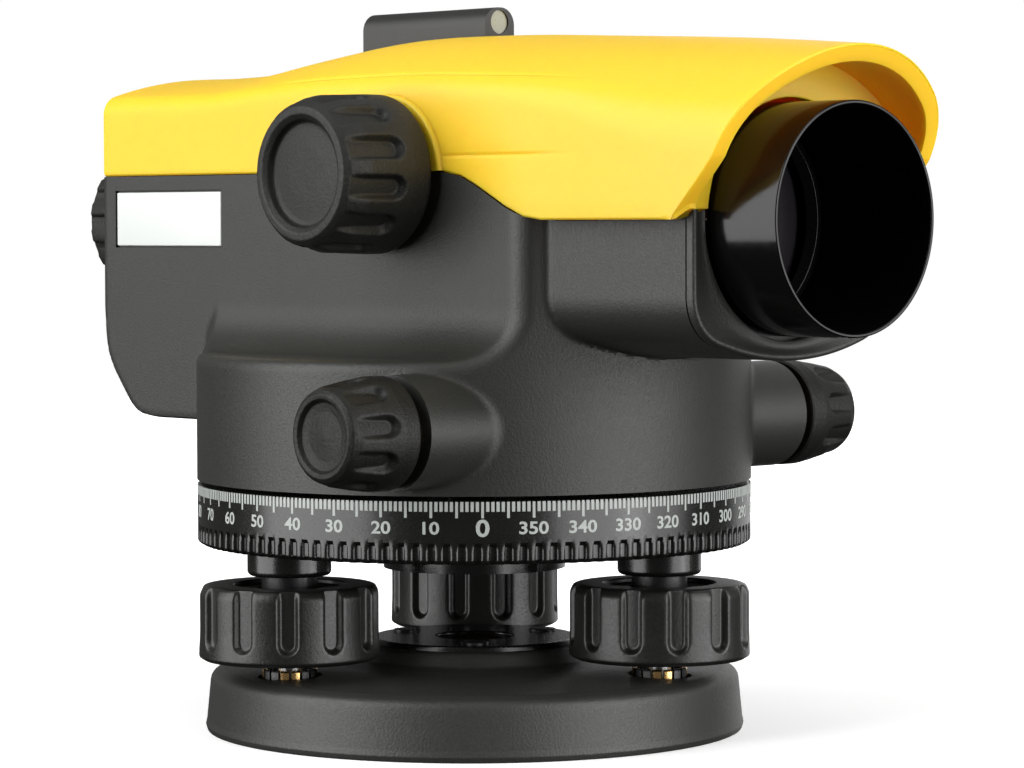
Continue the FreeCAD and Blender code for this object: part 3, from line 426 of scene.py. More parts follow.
def field_mesh(field, low, high, step):
    """Closed quad mesh of the zero surface of a distance field."""
    axes = [np.arange(a, b + step, step) for a, b in zip(low, high)]
    x, y, z = np.meshgrid(*axes, indexing="ij")
    value = field(x, y, z)
    shape = np.array(value.shape) - 1
    total = np.zeros((*shape, 3))
    hits = np.zeros(shape)
    grid = np.stack([x, y, z], -1)
    for axis in range(3):
        others = [a for a in range(3) if a != axis]
        for da in (0, 1):
            for db in (0, 1):
                start = [slice(0, n) for n in shape]
                for other, d in zip(others, (da, db)):
                    start[other] = slice(d, d + shape[other])
                end = list(start)
                end[axis] = slice(1, 1 + shape[axis])
                va, vb = value[tuple(start)], value[tuple(end)]
                crossing = (va < 0) != (vb < 0)
                t = np.where(crossing, va / np.where(crossing, va - vb, 1), 0)[..., None]
                point = grid[tuple(start)] * (1 - t) + grid[tuple(end)] * t
                total += point * crossing[..., None]
                hits += crossing
    active = hits > 0
    index = np.full(shape, -1)
    index[active] = np.arange(active.sum())
    points = total[active] / hits[active][:, None]
    e = 0.05
    for _ in range(3):
        px, py, pz = points.T
        f = field(px, py, pz)
        slope = np.stack([field(px + e, py, pz) - field(px - e, py, pz),
                          field(px, py + e, pz) - field(px, py - e, pz),
                          field(px, py, pz + e) - field(px, py, pz - e)], 1) / (2 * e)
        norm = np.maximum((slope ** 2).sum(1), 0.2)
        points = points - np.clip(f / norm, -step, step)[:, None] * slope
    faces = []
    for axis in range(3):
        a, b = [n for n in range(3) if n != axis]
        first = [slice(1, -1)] * 3
        first[axis] = slice(0, -1)
        second = list(first)
        second[axis] = slice(1, None)
        va, vb = value[tuple(first)], value[tuple(second)]
        for flip, mask in ((False, (va < 0) & (vb >= 0)), (True, (va >= 0) & (vb < 0))):
            at = np.argwhere(mask)
            at[:, a] += 1
            at[:, b] += 1
            ring = []
            for da, db in ((-1, -1), (0, -1), (0, 0), (-1, 0)):
                cell = at.copy()
                cell[:, a] += da
                cell[:, b] += db
                ring.append(index[tuple(cell.T)])
            quad = np.stack(ring if flip == (axis == 1) else ring[::-1], 1)
            faces.append(quad)
    return points, np.concatenate(faces)


def solid_object(name, points, faces):
    mesh = bpy.data.meshes.new(name)
    mesh.from_pydata((np.asarray(points, float) * MM).tolist(), [], [tuple(int(i) for i in f) for f in faces])
    weld(mesh, 1e-6)
    return linked(name, mesh)


def prism(outline, plane, low, high):
    """Solid extruded from an outline; plane 'xz' runs along Y and 'xy' along Z."""
    n = len(outline)
    points = []
    for level in (low, high):
        for a, b in outline:
            points.append((a, level, b) if plane == "xz" else (a, b, level))
    faces = [tuple(range(n))[::-1], tuple(range(n, 2 * n))]
    faces += [(i, (i + 1) % n, n + (i + 1) % n, n + i) for i in range(n)]
    return points, faces


def rod(r, low, high, origin, basis, segments=160):
    """Round bar between two heights on the axis of a basis."""
    build = Build()
    spun(build, [(0, low), (r, low), (r, high), (0, high)], origin, basis, segments)
    return np.concatenate(build.points), build.faces


def carve(obj, cutters):
    """Cuts closed solids from an object, one after the other."""
    for points, faces in cutters:
        cutter = solid_object("cutter", points, faces)
        modifier = obj.modifiers.new("cut", "BOOLEAN")
        modifier.operation = "DIFFERENCE"
        modifier.solver = "MANIFOLD"
        modifier.object = cutter
        apply_modifiers(obj)
        bpy.data.objects.remove(cutter)


def make_housing():
    step = 0.75
    points, faces = field_mesh(casting_field, (-84.0, -58.0, 42.0), (90.0, 58.0, 116.0), step)
    casting = solid_object("housing_casting", points, faces)
    seam = [(x, z - 0.15) for x, z in SEAM] + [(120.0, 160.0), (-120.0, 160.0)]
    arc = [(DRUM_BORE_R * math.cos(a), DRUM_BORE_R * math.sin(a)) for a in np.linspace(-0.557, 0.557, 40)]
    inside = [(-77.0, -27.0)] + arc + [(-77.0, 27.0)]
    centre = (0, 0, AXIS_Z)
    carve(casting, [
        prism([(BARREL_X, 60.0), (95.0, 60.0), (95.0, 130.0), (BARREL_X, 130.0)], "xz", -50.0, 50.0),
        rod(14.0, 49.5, 60.0, (SHAFT_X, 0, SHAFT_Z), NEAR),
        rod(14.0, 49.5, 60.0, (SHAFT_X, 0, SHAFT_Z), FAR),
        rod(70.0, 30.0, DRUM_Z0, (0, 0, 0), UP),
        prism(seam, "xz", -90.0, 90.0),
        rod(DRUM_BORE_R, 40.0, 68.0, (0, 0, 0), UP),
        prism(inside, "xy", 70.5, 130.0),
        rod(9.6, 60.0, 75.0, (0, 0, 0), UP),
        rod(14.5, 30.0, 60.0, centre, FRONT),
        rod(TUBE_R + 0.02, 56.0, 90.0, centre, FRONT),
        rod(HOLE_R, 81.0, 90.0, centre, FRONT),
        rod(5.0, -60.0, 60.0, (SHAFT_X, 0, SHAFT_Z), FAR),
        rod(9.0, 20.0, 40.0, (FOCUS_X, 0, FOCUS_Z), NEAR),
        rod(13.2, 70.0, 90.0, centre, BACK),
        prism([(-75.6, 93.6), (-41.0, 93.6), (-41.0, 105.2), (-75.6, 105.2)], "xz", -40.0, -29.3)])
    dress(casting, HOUSING, "alidade", ("housing", "barrel"), 34.0)


# ---- cover ------------------------------------------------------------------------------------
def section(x):
    """Half width, crest height, crown radius and corner radius of the cover at x."""
    table = SECTIONS
    i = int(np.clip(np.searchsorted(table[:, 0], x) - 1, 0, len(table) - 2))
    x0, x1 = table[i, 0], table[i + 1, 0]
    t = float(np.clip((x - x0) / (x1 - x0), 0, 1))
    span = x1 - x0
    slope = np.gradient(table[:, 1:], table[:, 0], axis=0)
    a, b = table[i, 1:], table[i + 1, 1:]
    ma, mb = slope[i] * span, slope[i + 1] * span
    return ((2 * t ** 3 - 3 * t ** 2 + 1) * a + (t ** 3 - 2 * t ** 2 + t) * ma
            + (-2 * t ** 3 + 3 * t ** 2) * b + (t ** 3 - t ** 2) * mb)


def seam_height(x):
    """Height of the cover's lower edge at x."""
    xs, zs = zip(*SEAM)
    return float(np.interp(x, xs, zs))


# places of the cover's lengthwise lines on its section, from the lower edge up
LIP_LANES = (0.0, 0.1, 0.34, 0.85)
LOW_LANES = (0.3, 0.6)
GROOVE_LANES = (-0.7, -0.4, -0.2, 0.0, 0.2, 0.4, 0.7)
HIGH_LANES = (0.2, 0.4, 0.6, 0.8)
CORNER_LANES = (0.0, 0.14, 0.28, 0.42, 0.56, 0.70, 0.80, 0.88, 0.94, 0.97)
CROWN_LANES = (0.0, 0.008, 0.016, 0.028, 0.045, 0.08, 0.14, 0.21, 0.28, 0.35, 0.42, 0.49, 0.56, 0.63, 0.70,
               0.77, 0.84, 0.92)
GROOVE_Z, GROOVE_DEPTH, GROOVE_WIDTH = 110.9, 0.30, 0.32
# walls of the cover and the visor, and how far the lower edge turns in
COVER_WALL, VISOR_WALL, LIP = 2.2, 3.3, 0.45
REAR_EDGE, RIM_EDGE = 0.8, 0.35
VISOR_FLOOR_X, VISOR_INNER_X, HOLE_X = 86.2, 85.3, 84.3
# how far above the axis the edges of the cover and of the front rim meet the opening for the hood
COVER_END_Z, RIM_END_Z = 1.9, 1.75
CLOSE_STATIONS = (23.0, 26.0, 29.0, 31.2, 33.5, 36.0, 38.5, 41.0, 43.2, 45.5, 47.8, 50.0)


def cover_ring(x, inset, lip=0.0):
    """Points (y, z) of the cover's section, from the near lower edge over the crest to the far one."""
    half, crest, crown_r, corner_r = section(x)
    half, crest, crown_r = half - inset, crest - inset, crown_r - inset
    corner_r = max(corner_r - inset, 0.8)
    low = seam_height(x)
    crown_c = crest - crown_r
    corner_y = half - corner_r
    corner_c = crown_c + math.sqrt((crown_r - corner_r) ** 2 - corner_y ** 2)
    lean = math.atan2(corner_y, corner_c - crown_c)
    styled = inset < 1.0
    low_depth = styled * GROOVE_DEPTH * float(step_between(20, 26, x) * (1 - step_between(38, 62, x)))
    high_depth = styled * GROOVE_DEPTH * float(step_between(-30, -22, x) * (1 - step_between(25, 62, x)))
    line = min(GROOVE_Z, low + 0.72 * (corner_c - low))
    lip_top, line_low, line_top = low + LIP_LANES[-1], line + GROOVE_LANES[0], line + GROOVE_LANES[-1]
    heights = [low + d for d in LIP_LANES]
    heights += [lip_top + q * (line_low - lip_top) for q in LOW_LANES]
    heights += [line + d for d in GROOVE_LANES]
    heights += [line_top + q * (corner_c - line_top) for q in HIGH_LANES]
    side = []
    for z in heights:
        dip = low_depth * math.exp(-((z - line) / GROOVE_WIDTH) ** 2)
        side.append((-half + dip + lip * max(0.0, 1 - (z - low) / 0.6) ** 2, z))
    for q in CORNER_LANES:
        a = math.pi / 2 - (math.pi / 2 - lean) * q
        r = corner_r - high_depth * math.exp(-(corner_r * (a - lean) / GROOVE_WIDTH) ** 2)
        side.append((-(corner_y + r * math.sin(a)), corner_c + r * math.cos(a)))
    for q in CROWN_LANES:
        a = lean * (1 - q)
        r = crown_r - high_depth * math.exp(-(crown_r * (lean - a) / GROOVE_WIDTH) ** 2)
        side.append((-r * math.sin(a), crown_c + r * math.cos(a)))
    far = [(-y, z) for y, z in reversed(side)]
    return np.array(side + [(0.0, crest)] + far)


def visor_x(z):
    """How far forward the visor reaches at a height."""
    return np.interp(z, VISOR_EDGE[:, 0], VISOR_EDGE[:, 1])


def lane_ends(inset, least=0.0):
    """For every lane, the x at which it meets the slanted front edge."""
    count = len(cover_ring(0.0, 0.0))
    low, high = np.full(count, 80.0), np.full(count, 104.0)
    for _ in range(22):
        middle = (low + high) / 2
        for i in range(count):
            z = cover_ring(middle[i], inset)[i, 1]
            if middle[i] < max(visor_x(z), least):
                low[i] = middle[i]
            else:
                high[i] = middle[i]
    return (low + high) / 2


def lane_points(xs, inset, lip=0.0):
    """One point per lane, each at its own x."""
    out = []
    for i, x in enumerate(xs):
        y, z = cover_ring(x, inset, lip)[i]
        out.append((x, y, z))
    return np.array(out)


def hole_row(x, angles):
    """Points on the round opening for the hood."""
    y, z = HOLE_R * np.cos(angles), AXIS_Z + HOLE_R * np.sin(angles)
    return np.column_stack([np.full(len(angles), x), y, z])


def bowed_rows(edge, hole, shares, bow):
    """Rows between an edge and the opening, bowed backwards."""
    rows = []
    for t in shares:
        row = edge * (1 - t) + hole * t
        row[:, 0] -= bow * math.sin(math.pi * t)
        rows.append(row)
    return rows


def cover_rows():
    """Rows of points over the outside, round the visor's rim and back along the inside."""
    count = len(cover_ring(0.0, 0.0))
    rows = []
    # rounded rear edge and the outside
    for k in range(4, -1, -1):
        a = k / 4 * math.pi / 2
        x = BACK_X + REAR_EDGE * (1 - math.sin(a))
        rows.append(lane_points(np.full(count, x), REAR_EDGE * (1 - math.cos(a)), LIP))
    stations = sorted({-78.0, *np.arange(-76.0, 80.1, 2.4), *CLOSE_STATIONS})
    for x in stations:
        rows.append(lane_points(np.full(count, x), 0.0, LIP))
    last = stations[-1]
    ends = lane_ends(0.0)
    for t in (0.25, 0.5, 0.72, 0.88, 0.96):
        rows.append(lane_points(last + (ends - last) * t, 0.0, LIP * (1 - t)))
    # rounded rim and the inside of the visor
    rows.append(lane_points(ends - RIM_EDGE * 0.9, 0.0))
    for a in (30, 60, 90):
        s, c = math.sin(math.radians(a)), math.cos(math.radians(a))
        rows.append(lane_points(ends - RIM_EDGE * (1 - s), RIM_EDGE * (1 - c)))
    inner_ends = lane_ends(VISOR_WALL, VISOR_INNER_X)
    for t in (0.15, 0.3, 0.45, 0.6, 0.9):
        reach = np.where(inner_ends > ends, min(1.0, 1.6 * t), t)
        rows.append(lane_points(ends * (1 - reach) + inner_ends * reach, VISOR_WALL * t))
    rows.append(lane_points(inner_ends - 0.02, VISOR_WALL - 0.08))
    inner = inner_ends - 0.35
    rows.append(lane_points(inner, VISOR_WALL))
    for t in (0.35, 0.7, 1.0):
        rows.append(lane_points(inner + (np.minimum(VISOR_FLOOR_X, inner) - inner) * t, VISOR_WALL))
    # wall between the visor and the opening for the hood
    base = rows[-1]
    angle = np.arctan2(base[:, 2] - AXIS_Z, base[:, 1])
    low = math.asin(COVER_END_Z / HOLE_R)
    top = math.pi / 2
    hole = hole_row(HOLE_X, np.interp(angle, (angle.min(), top, angle.max()), (low, top, math.pi - low)))
    rows += bowed_rows(base, hole, (0.12, 0.35, 0.6, 0.85, 0.97), 0.6)
    rows.append(hole - np.array([0.15, 0, 0]))
    rows.append(hole - np.array([1.8, 0, 0]))
    # inside, back to the rear edge
    rows.append(lane_points(np.full(count, 82.4), COVER_WALL))
    for x in stations[::-1]:
        rows.append(lane_points(np.full(count, max(x, BACK_X + COVER_WALL)), COVER_WALL))
    return rows


def make_cover():
    rows = cover_rows()
    n, count = len(rows), len(rows[0])
    faces = grid_faces(n, count, False)
    for row in (0, n - 1):
        for i in range(count // 2):
            a, b = row * count + i, row * count + i + 1
            c, d = row * count + count - 2 - i, row * count + count - 1 - i
            faces.append((a, b, c, d) if b != c else (a, b, d))
    build = Build().add(np.concatenate(rows), faces + end_faces(n, count))
    # arched collar behind the focusing knob
    profile = np.array(soft_profile([(9.3, -29.2), (9.3, -31.0, 0.2), (14.8, -31.0, 0.6), (15.2, -29.2)]))
    turn = np.linspace(0.04, math.pi - 0.04, 60)
    points = []
    for a in turn:
        points.append(np.stack([FOCUS_X + profile[:, 0] * math.cos(a), profile[:, 1],
                                FOCUS_Z + profile[:, 0] * math.sin(a)], 1))
    m = len(profile)
    faces = grid_faces(len(turn), m, True)
    faces += [tuple(range(m)), tuple(range((len(turn) - 1) * m, len(turn) * m))]
    build.add(np.concatenate(points), faces)
    build.make("cover_shell", YELLOW, "alidade", ("top_cover",), "yellow_cover", 30.0)


# ---- front frame, tube and lens ---------------------------------------------------------------
RIM_STEPS = ((82.5, 0.9), (82.5, 0.12), (82.62, 0.0), (83.75, 0.0), (84.05, 0.12), (84.25, 0.4), (84.3, 0.75),
             (84.15, 1.1))
TUBE_BACK_X, LENS_R = 56.0, 19.4


def frame_outline(inset):
    """Half U outline from the near upper corner to the bottom, then mirrored."""
    top = 100.75
    cy, cz, cr = BARREL_CORNER
    cr, crown = cr - inset, BARREL_CROWN_R - inset
    lean = math.atan2(cy, BARREL_CROWN_Z - cz)
    points = [(-(BARREL_HALF - inset), top - (top - cz) * k / 8) for k in range(8)]
    for k in range(10):
        a = math.pi / 2 - (math.pi / 2 - lean) * k / 10
        points.append((-(cy + cr * math.sin(a)), cz - cr * math.cos(a)))
    for k in range(14):
        a = lean * (1 - k / 14)
        points.append((-crown * math.sin(a), BARREL_CROWN_Z - crown * math.cos(a)))
    return np.array(points + [(0.0, BARREL_CROWN_Z - crown)] + [(-y, z) for y, z in reversed(points)])


def make_front():
    # U-shaped rim round the hood; its steps are (x, inset)
    rows = []
    for x, inset in RIM_STEPS:
        ring = frame_outline(inset)
        rows.append(np.column_stack([np.full(len(ring), x), ring]))
    base = rows[-1]
    low = math.asin(RIM_END_Z / HOLE_R)
    own = np.unwrap(np.arctan2(base[:, 2] - AXIS_Z, base[:, 1]))
    hole = hole_row(83.6, np.interp(own, (own[0], own[-1]), (math.pi - low, 2 * math.pi + low)))
    rows += bowed_rows(base, hole, (0.2, 0.4, 0.6, 0.8, 0.95), 0.5)
    rows.append(hole - np.array([0.12, 0, 0]))
    rows.append(hole * np.array([0, 1, 1]) + np.array([82.5, 0, 0]))
    n, count = len(rows), len(base)
    build = Build().add(np.concatenate(rows), grid_faces(n, count, False, True) + end_faces(n, count))
    build.make("front_rim", HOUSING, "alidade", ("front_frame",), "housing_grey", 40.0)

    # hood, glossy outside and dead black inside
    build = Build()
    outside = soft_profile([(TUBE_R, TUBE_BACK_X), (TUBE_R, TUBE_X, 0.3), (TUBE_BORE_R, TUBE_X, 0.3),
                            (TUBE_BORE_R, 98.9)])
    spun(build, outside, (0, 0, AXIS_Z), FRONT, 256)
    inside = [(TUBE_BORE_R, 98.9), (TUBE_BORE_R, 63.1), (17.0, 63.1), (17.0, 57.2), (TUBE_BORE_R, 57.2),
              (TUBE_BORE_R, TUBE_BACK_X), (TUBE_R, TUBE_BACK_X)]
    spun(build, inside, (0, 0, AXIS_Z), FRONT, 256, slot=1)
    build.make("objective_hood", [GLOSS, INNER_BLACK], "alidade", ("objective_tube",), "black_gloss", 40.0)

    build = Build()
    ring = soft_profile([(18.0, 71.2), (20.15, 71.2), (20.15, 73.0), (19.2, 73.4, 0.2), (18.6, 73.4, 0.2),
                         (18.4, 72.6), (18.0, 71.2)])
    spun(build, ring[:-1], (0, 0, AXIS_Z), FRONT, 200, ring=True)
    build.make("lens_retainer", SATIN, "alidade", ("objective_retainer",), "black_satin", 40.0)

    build = Build()
    curve = [(LENS_R * k / 18, 68.2 + 2.6 * (1 - (k / 18) ** 2)) for k in range(19)]
    back = [(LENS_R, 63.2)] + [(LENS_R * k / 10, 63.2) for k in range(9, -1, -1)]
    spun(build, curve + back, (0, 0, AXIS_Z), FRONT, 128)
    build.make("objective_glass", COATED, "alidade", ("objective_lens",), "coated_glass", 40.0)


# ---- knobs ------------------------------------------------------------------------------------
FOCUS_KNOB = [
    (0, 0.3), (13.4, 0.3), (14.2, 0.0, 0.3), (14.9, 1.0, 0.8), (14.9, 4.5, 3.0), (14.55, 14.6, 3.0),
    (14.0, 17.0, 1.5), (13.35, 18.7, 1.0), (12.35, 19.9, 0.7), (11.0, 20.0, 0.7), (10.0, 19.2, 0.6),
    (9.6, 18.0, 0.7), (8.6, 17.95, 0.5), (5.0, 18.2, 2.0), (0, 18.3)]
DRIVE_KNOB = [
    (3.0, 0.2), (9.6, 0.2), (10.0, 0.0, 0.2), (10.4, 0.6, 0.4), (10.4, 3.8, 1.5), (9.9, 8.0, 3.0),
    (9.1, 12.6, 2.0), (8.35, 14.4, 0.7), (7.5, 15.0, 0.4), (6.7, 14.9, 0.4), (6.1, 14.1, 0.4),
    (4.5, 13.9, 0.6), (0, 14.2)]
FOOT_KNOB = [
    (3.25, 15.6), (16.1, 15.6, 0.6), (17.25, 16.3, 0.5), (17.1, 21.6, 3.0), (17.1, 28.4, 2.5),
    (16.4, 29.8, 1.0), (15.0, 30.0, 1.0), (10.7, 30.0, 0.3), (10.5, 29.0, 0.3), (6.8, 29.0, 0.2),
    (6.6, 28.6), (6.6, 26.6), (3.25, 26.6)]
EYEPIECE_RING = [
    (11.05, 0.0), (13.6, 0.0, 0.3), (15.4, 1.0, 0.8), (15.4, 4.0, 1.0), (15.3, 15.5, 2.0), (14.7, 20.8, 1.0),
    (13.3, 22.0, 0.5), (11.5, 22.0, 0.3), (10.6, 20.2, 0.5), (10.0, 19.1, 0.3), (10.0, 6.5), (11.05, 6.5)]


def flute_angles(count, radius, half_width, phase=0.0, inside=20, outside=6):
    """Angles gathered on the flutes and sparse between them."""
    period = 2 * math.pi / count
    edge = (half_width + 0.55) / radius
    one = [*np.linspace(-edge, edge, inside + 1), *np.linspace(edge, period - edge, outside + 2)[1:-1]]
    return np.concatenate([np.array(one) + i * period + phase for i in range(count)])


def pocket(count, half_width, closed_end, floor_r, wall_soft=0.5, phase=0.0):
    """Flutes closed by a round end just below height closed_end, open above; floor at radius floor_r."""
    period = 2 * math.pi / count

    def shape(t, r, h):
        across = ((t - phase + period / 2) % period - period / 2) * r
        distance = np.hypot(across, np.maximum(0.0, closed_end - h))
        mask = 1 - step_between(half_width - wall_soft, half_width + wall_soft, distance)
        return np.where(r > floor_r, r + (floor_r - r) * mask, r)
    return shape


def fluted_knob(name, material, place, profile, step, flutes, degrees, ring=False):
    """Knob with flutes: place is (origin, basis, body, CAD node, slot); the slot is not used.

    flutes is (count, half width, height of the closed end, floor radius, knob radius)."""
    origin, basis, body, part, slot = place
    count, half_width, closed_end, floor_r, radius = flutes
    phase = math.radians(degrees)
    build = Build()
    shape = pocket(count, half_width, closed_end, floor_r, phase=phase)
    angles = flute_angles(count, radius, half_width, phase)
    spun(build, dense(soft_profile(profile), step), origin, basis, angles, shape, ring=ring)
    build.make(name, material, body, (part,), slot, 60.0)


def make_knobs():
    place = ((FOCUS_X, FOCUS_Y, FOCUS_Z), NEAR, "focus", "focus_knob", "knob_black")
    fluted_knob("focusing_knob", KNOB, place, FOCUS_KNOB, 0.32, (12, 2.05, 8.9, 13.2, 14.9), 19.4)
    for side, basis, y in (("near", NEAR, -DRIVE_Y), ("far", FAR, DRIVE_Y)):
        place = ((SHAFT_X, y, SHAFT_Z), basis, "drive", "drive_knob_" + side, "knob_black")
        fluted_knob("drive_grip_" + side, DRIVE, place, DRIVE_KNOB, 0.34, (9, 1.85, 7.2, 8.7, 10.4), 11.3)
    for key, turn in (("a", -3.5), ("b", 6.3), ("c", -10.9)):
        place = (foot_centre(key), UP, "foot_" + key, "foot_knob_" + key, "foot_black")
        flutes = (12, 1.75, 20.1, 15.9, 17.1)
        fluted_knob("foot_grip_" + key, FOOT, place, FOOT_KNOB, 0.32, flutes, turn, ring=True)


# ---- graduated circle -------------------------------------------------------------------------
NOTCHES = 120
NOTCH_LANES = np.array([-0.5, -0.36, -0.25, -0.17, -0.09, 0.0, 0.09, 0.17, 0.25, 0.36])
FIGURE_STRETCH = 1.2
TICK_TOP_Z = 47.95


def wrapped_text(build, text, height, middle_z, degrees, radius):
    """Adds raised figures to the rim, centred on an angle."""
    curve = bpy.data.curves.new("figures", "FONT")
    curve.body = text
    curve.size = 1.0
    curve.resolution_u = 5
    curve.offset = 0.022
    curve.extrude = 0.5
    obj = linked("figures", curve)
    graph = bpy.context.evaluated_depsgraph_get()
    mesh = bpy.data.meshes.new_from_object(obj.evaluated_get(graph))
    co = np.array([v.co for v in mesh.vertices])
    faces = [tuple(p.vertices) for p in mesh.polygons]
    bpy.data.objects.remove(obj)
    bpy.data.curves.remove(curve)
    bpy.data.meshes.remove(mesh)
    low, high = co.min(0), co.max(0)
    scale = height / (high[1] - low[1])
    across = (co[:, 0] - (low[0] + high[0]) / 2) * scale * FIGURE_STRETCH
    up = (co[:, 1] - (low[1] + high[1]) / 2) * scale + middle_z
    out = radius + np.where(co[:, 2] > 0, 0.05, -0.05)
    a = math.radians(degrees) + across / radius
    build.add(np.stack([out * np.cos(a), out * np.sin(a), up], 1), faces)


def make_circle():
    build = Build()
    inner, outer = 50.4, RING_R
    profile = soft_profile([
        (inner, 36.4), (outer - 1.0, 36.4, 0.3), (outer, 37.0, 0.5), (outer, 40.4), (outer, 47.6, 0.4),
        (outer - 0.5, 48.1, 0.3), (44.9, 48.1), (44.9, 47.2), (inner, 47.2)])
    period = 2 * math.pi / NOTCHES
    angles = np.concatenate([NOTCH_LANES * period + i * period for i in range(NOTCHES)])

    def slots(t, r, h):
        d = (t + period / 2) % period - period / 2
        v = np.maximum(0.0, h - 39.5)
        distance = np.hypot(d * outer, v)
        mask = 1 - step_between(0.42, 0.85, distance)
        return np.where((r > outer - 1.6), r - 0.75 * mask * (h < 41.0), r)

    spun(build, dense(profile, 0.8), (0, 0, 0), UP, angles, slots, ring=True)
    build.make("circle_rim", SATIN, "circle", ("circle_ring",), "black_satin", 35.0)

    marks = Build()
    for degree in range(360):
        a = math.radians(ZERO_ANGLE - degree)
        wide, low = (0.25, 45.0) if degree % 5 == 0 else (0.29, 46.15)
        corners = []
        for r in (outer - 0.1, outer + 0.05):
            for da in (-wide, wide):
                for z in (low, TICK_TOP_Z):
                    corners.append((r * math.cos(a + da / outer), r * math.sin(a + da / outer), z))
        marks.add(corners, [(0, 1, 3, 2), (4, 6, 7, 5), (0, 4, 5, 1),
                            (2, 3, 7, 6), (0, 2, 6, 4), (1, 5, 7, 3)])
    for degree in range(0, 360, 10):
        tall = 3.2 if degree == 0 else 2.35
        wrapped_text(marks, str(degree), tall, 43.15, ZERO_ANGLE - degree, outer)
    marks.make("circle_graduation", INK, "circle", (), "label_white", 30.0, merge=0.0001)


# ---- base and slotted collars -----------------------------------------------------------------
FINGER_PROFILE = ((4.35, 8.1), (4.35, 13.6), (4.5, 13.8), (5.1, 13.8), (5.25, 13.65), (COLLAR_R, 13.3),
                  (COLLAR_R, 8.1))
FINGER_COLUMNS = 6


def make_base():
    build = Build()
    profile = soft_profile([
        (11.02, 0.0), (25.0, 0.0, 0.2), (25.0, 2.0, 0.2), (42.0, 2.0, 0.2), (42.0, 0.0, 0.2),
        (52.3, 0.0, 0.3), (52.65, 1.1, 0.5), (52.4, 2.2, 0.5), (51.55, 11.0, 2.0), (49.0, 12.0, 2.0),
        (27.0, 12.9, 3.0), (22.6, 13.7, 1.2), (21.0, 16.6, 1.0), (11.02, 16.6)])
    spun(build, dense(profile, 1.2), (0, 0, 0), UP, 200, ring=True)
    obj = build.make("base_casting", BASE_GREY, "base", ("base_plate",), "base_grey", 40.0)
    carve(obj, [rod(6.2, 3.6, 16.0, foot_centre(key), UP, 64) for key in FOOT_ANGLES])
    dress(obj, BASE_GREY, "base", (), 38.0)

    # two of every four fingers of a collar are brass; the other two are painted black, a painted reflection
    # that stands in for the dark bands a polished brass collar shows between its highlights
    fingers = Build()
    pitch = 2 * math.pi / COLLAR_SLOTS
    half = pitch / 2 - 0.27 / COLLAR_R
    for key in FOOT_ANGLES:
        cx, cy, _ = foot_centre(key)
        for i in range(COLLAR_SLOTS):
            middle = math.radians(COLLAR_PHASE) + (i + 0.5) * pitch
            arc = np.linspace(middle - half, middle + half, FINGER_COLUMNS)
            rows = []
            for r, z in FINGER_PROFILE:
                angle = middle + (arc - middle) * (0.9 if z > 13.7 else 1.0)
                rows.append(np.column_stack([cx + r * np.cos(angle), cy + r * np.sin(angle),
                                             np.full(FINGER_COLUMNS, z)]))
            faces = grid_faces(len(rows), FINGER_COLUMNS, False, True) + end_faces(len(rows), FINGER_COLUMNS)
            # slot 1 paints the fingers black as painted dark reflection bands
            fingers.add(np.concatenate(rows), faces, 0 if i % 4 in (1, 2) else 1)
    fingers.make("foot_collar_fingers", [BRASS, BLACK_AND_PAINTED_REFLECTION], "base", ("foot_collars",), "brass", 40.0)


# ---- label and eyepiece ring ------------------------------------------------------------------
def make_details():
    build = Build()
    box_shape(build, (-75.2, -29.95, 94.0), (-41.4, -29.3, 104.8))
    label = build.make("label", LABEL, "alidade", ("label_plate",), "label_white")
    bevelled(label, 0.25)
    dress(label, LABEL, "alidade", (), 40.0)

    # the ring's lengthwise lines are not lined up with its flutes
    build = Build()
    spun(build, dense(soft_profile(EYEPIECE_RING), 0.5), (EYEPIECE_X, 0, AXIS_Z), BACK,
         flute_angles(16, 15.0, 1.15, 8, 2), pocket(16, 1.15, 5.2, 13.9, 0.3), ring=True)
    build.make("dioptre_ring", KNOB, "eyepiece", ("eyepiece_ring",), "knob_black", 50.0)


make_housing()
make_cover()
make_front()
make_knobs()
make_circle()
make_base()
make_details()


# ---- studio -----------------------------------------------------------------------------------
# name, azimuth from +X towards +Y, elevation, distance, size, radiance
LIGHTS = (
    ("left_box", -110.5, 17.0, 1.5, (1.65, 2.0), 4.35),
    ("right_box", 10.0, 9.0, 1.5, (1.15, 1.9), 3.9),
    ("top_box", 60.0, 84.0, 1.3, (1.6, 1.6), 0.85),
    ("back_box", 112.0, 6.0, 1.5, (1.2, 1.3), 0.8),
    ("front_card", 32.0, 3.0, 0.6, (0.34, 0.30), 3.2))
AIM_HEIGHT = 0.08


def paper():
    """Pale paper that runs into the white of the background."""
    material = surface("paper_floor", (0.9, 0.9, 0.9), 0.85, tone=0.01, grain=0.05, specular=0.05)
    tree = material.node_tree
    link = tree.links.new
    shader = tree.nodes["Principled BSDF"]
    place = node(tree, "ShaderNodeTexCoord")
    length = node(tree, "ShaderNodeVectorMath", operation="LENGTH")
    link(place.outputs["Object"], length.inputs[0])
    glow = node(tree, "ShaderNodeMapRange", From_Min=0.1, From_Max=0.6, To_Min=0.35, To_Max=1.05)
    link(length.outputs["Value"], glow.inputs["Value"])
    link(glow.outputs["Result"], shader.inputs["Emission Strength"])
    shader.inputs["Emission Color"].default_value = (1, 1, 1, 1)
    return material


def make_floor():
    build = Build()
    spun(build, [(r, -0.02) for r in (0.0, 100.0, 300.0, 700.0, 1400.0)], (0, 0, 0), UP, 96)
    mesh = bpy.data.meshes.new("floor")
    mesh.from_pydata((np.concatenate(build.points) * MM).tolist(), [], build.faces)
    floor = linked("floor", mesh)
    floor.data.materials.append(paper())
    floor.visible_glossy = False
    floor.visible_diffuse = False
    floor.visible_shadow = False


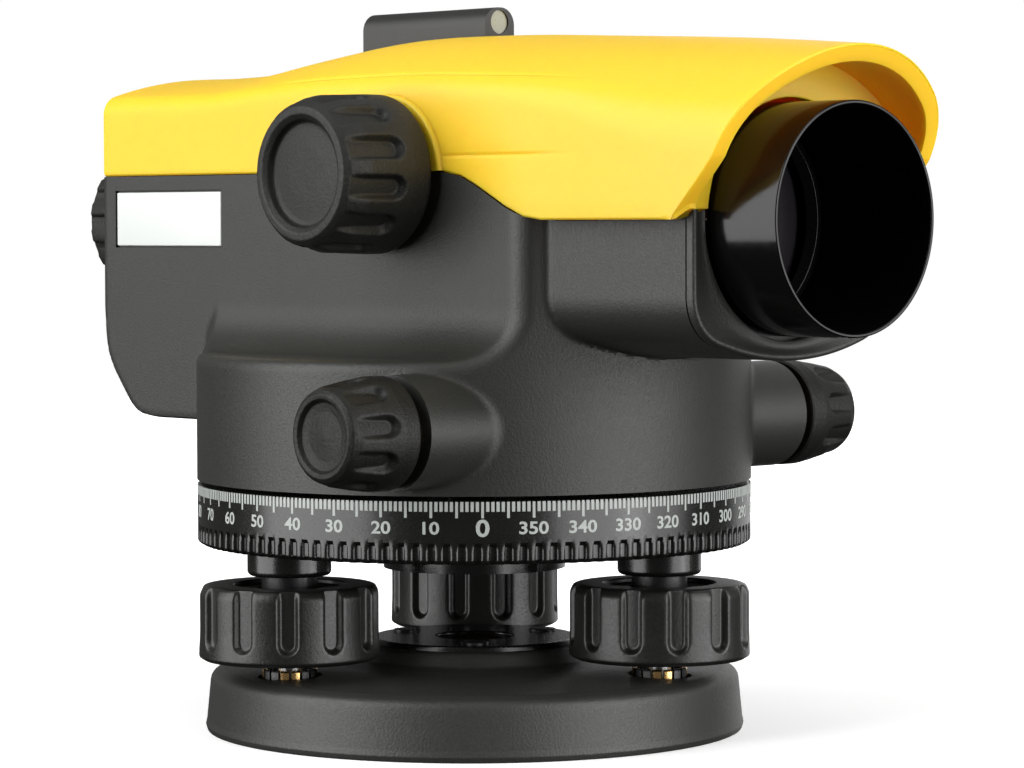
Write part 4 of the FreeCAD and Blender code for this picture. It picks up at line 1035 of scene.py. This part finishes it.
def softbox(name, azimuth, elevation, distance, size, radiance):
    """Area light that faces the object."""
    data = bpy.data.lights.new(name, "AREA")
    data.shape = "RECTANGLE"
    data.size, data.size_y = size
    data.energy = radiance * math.pi * size[0] * size[1]
    lamp = linked(name, data)
    a, e = math.radians(azimuth), math.radians(elevation)
    lamp.location = Vector((math.cos(a) * math.cos(e), math.sin(a) * math.cos(e), math.sin(e))) * distance
    lamp.location.z += AIM_HEIGHT
    lamp.rotation_euler = (Vector((0, 0, AIM_HEIGHT)) - lamp.location).to_track_quat("-Z", "Y").to_euler()


def make_world():
    """Dim fill, lighter above, behind a plain white background."""
    world = bpy.data.worlds.new("studio")
    bpy.context.scene.world = world
    world.use_nodes = True
    tree = world.node_tree
    link = tree.links.new
    background = tree.nodes["Background"]
    place = node(tree, "ShaderNodeTexCoord")
    split = node(tree, "ShaderNodeSeparateXYZ")
    link(place.outputs["Generated"], split.inputs[0])
    fill = ramp(tree, 0.40, (0.04, 0.04, 0.04), 0.55, (0.30, 0.30, 0.30))
    lift = node(tree, "ShaderNodeMapRange", From_Min=-1.0)
    link(split.outputs["Z"], lift.inputs["Value"])
    link(lift.outputs["Result"], fill.inputs["Fac"])
    link(fill.outputs["Color"], background.inputs["Color"])
    background.inputs["Strength"].default_value = 0.6
    seen = node(tree, "ShaderNodeBackground", Color=(1, 1, 1, 1), Strength=1.0)
    path = node(tree, "ShaderNodeLightPath")
    mix = node(tree, "ShaderNodeMixShader")
    link(path.outputs["Is Camera Ray"], mix.inputs[0])
    link(background.outputs[0], mix.inputs[1])
    link(seen.outputs[0], mix.inputs[2])
    link(mix.outputs[0], tree.nodes["World Output"].inputs["Surface"])


def make_camera():
    data = bpy.data.cameras.new("camera")
    data.sensor_width = 36.0
    data.lens = 129.65625
    data.clip_end = 100.0
    camera = linked("camera", data)
    forward = Vector((-0.728748, 0.683387, -0.043686)).normalized()
    right = Vector((0.684111, 0.729374, -0.002298)).normalized()
    up = right.cross(forward).normalized()
    right = forward.cross(up)
    turn = Matrix((right, up, -forward)).transposed()
    camera.matrix_world = Matrix.Translation((0.5309, -0.48768, 0.0985)) @ turn.to_4x4()
    bpy.context.scene.camera = camera


make_floor()
for light in LIGHTS:
    softbox(*light)
make_world()
make_camera()
bpy.context.scene.view_settings.view_transform = "Standard"
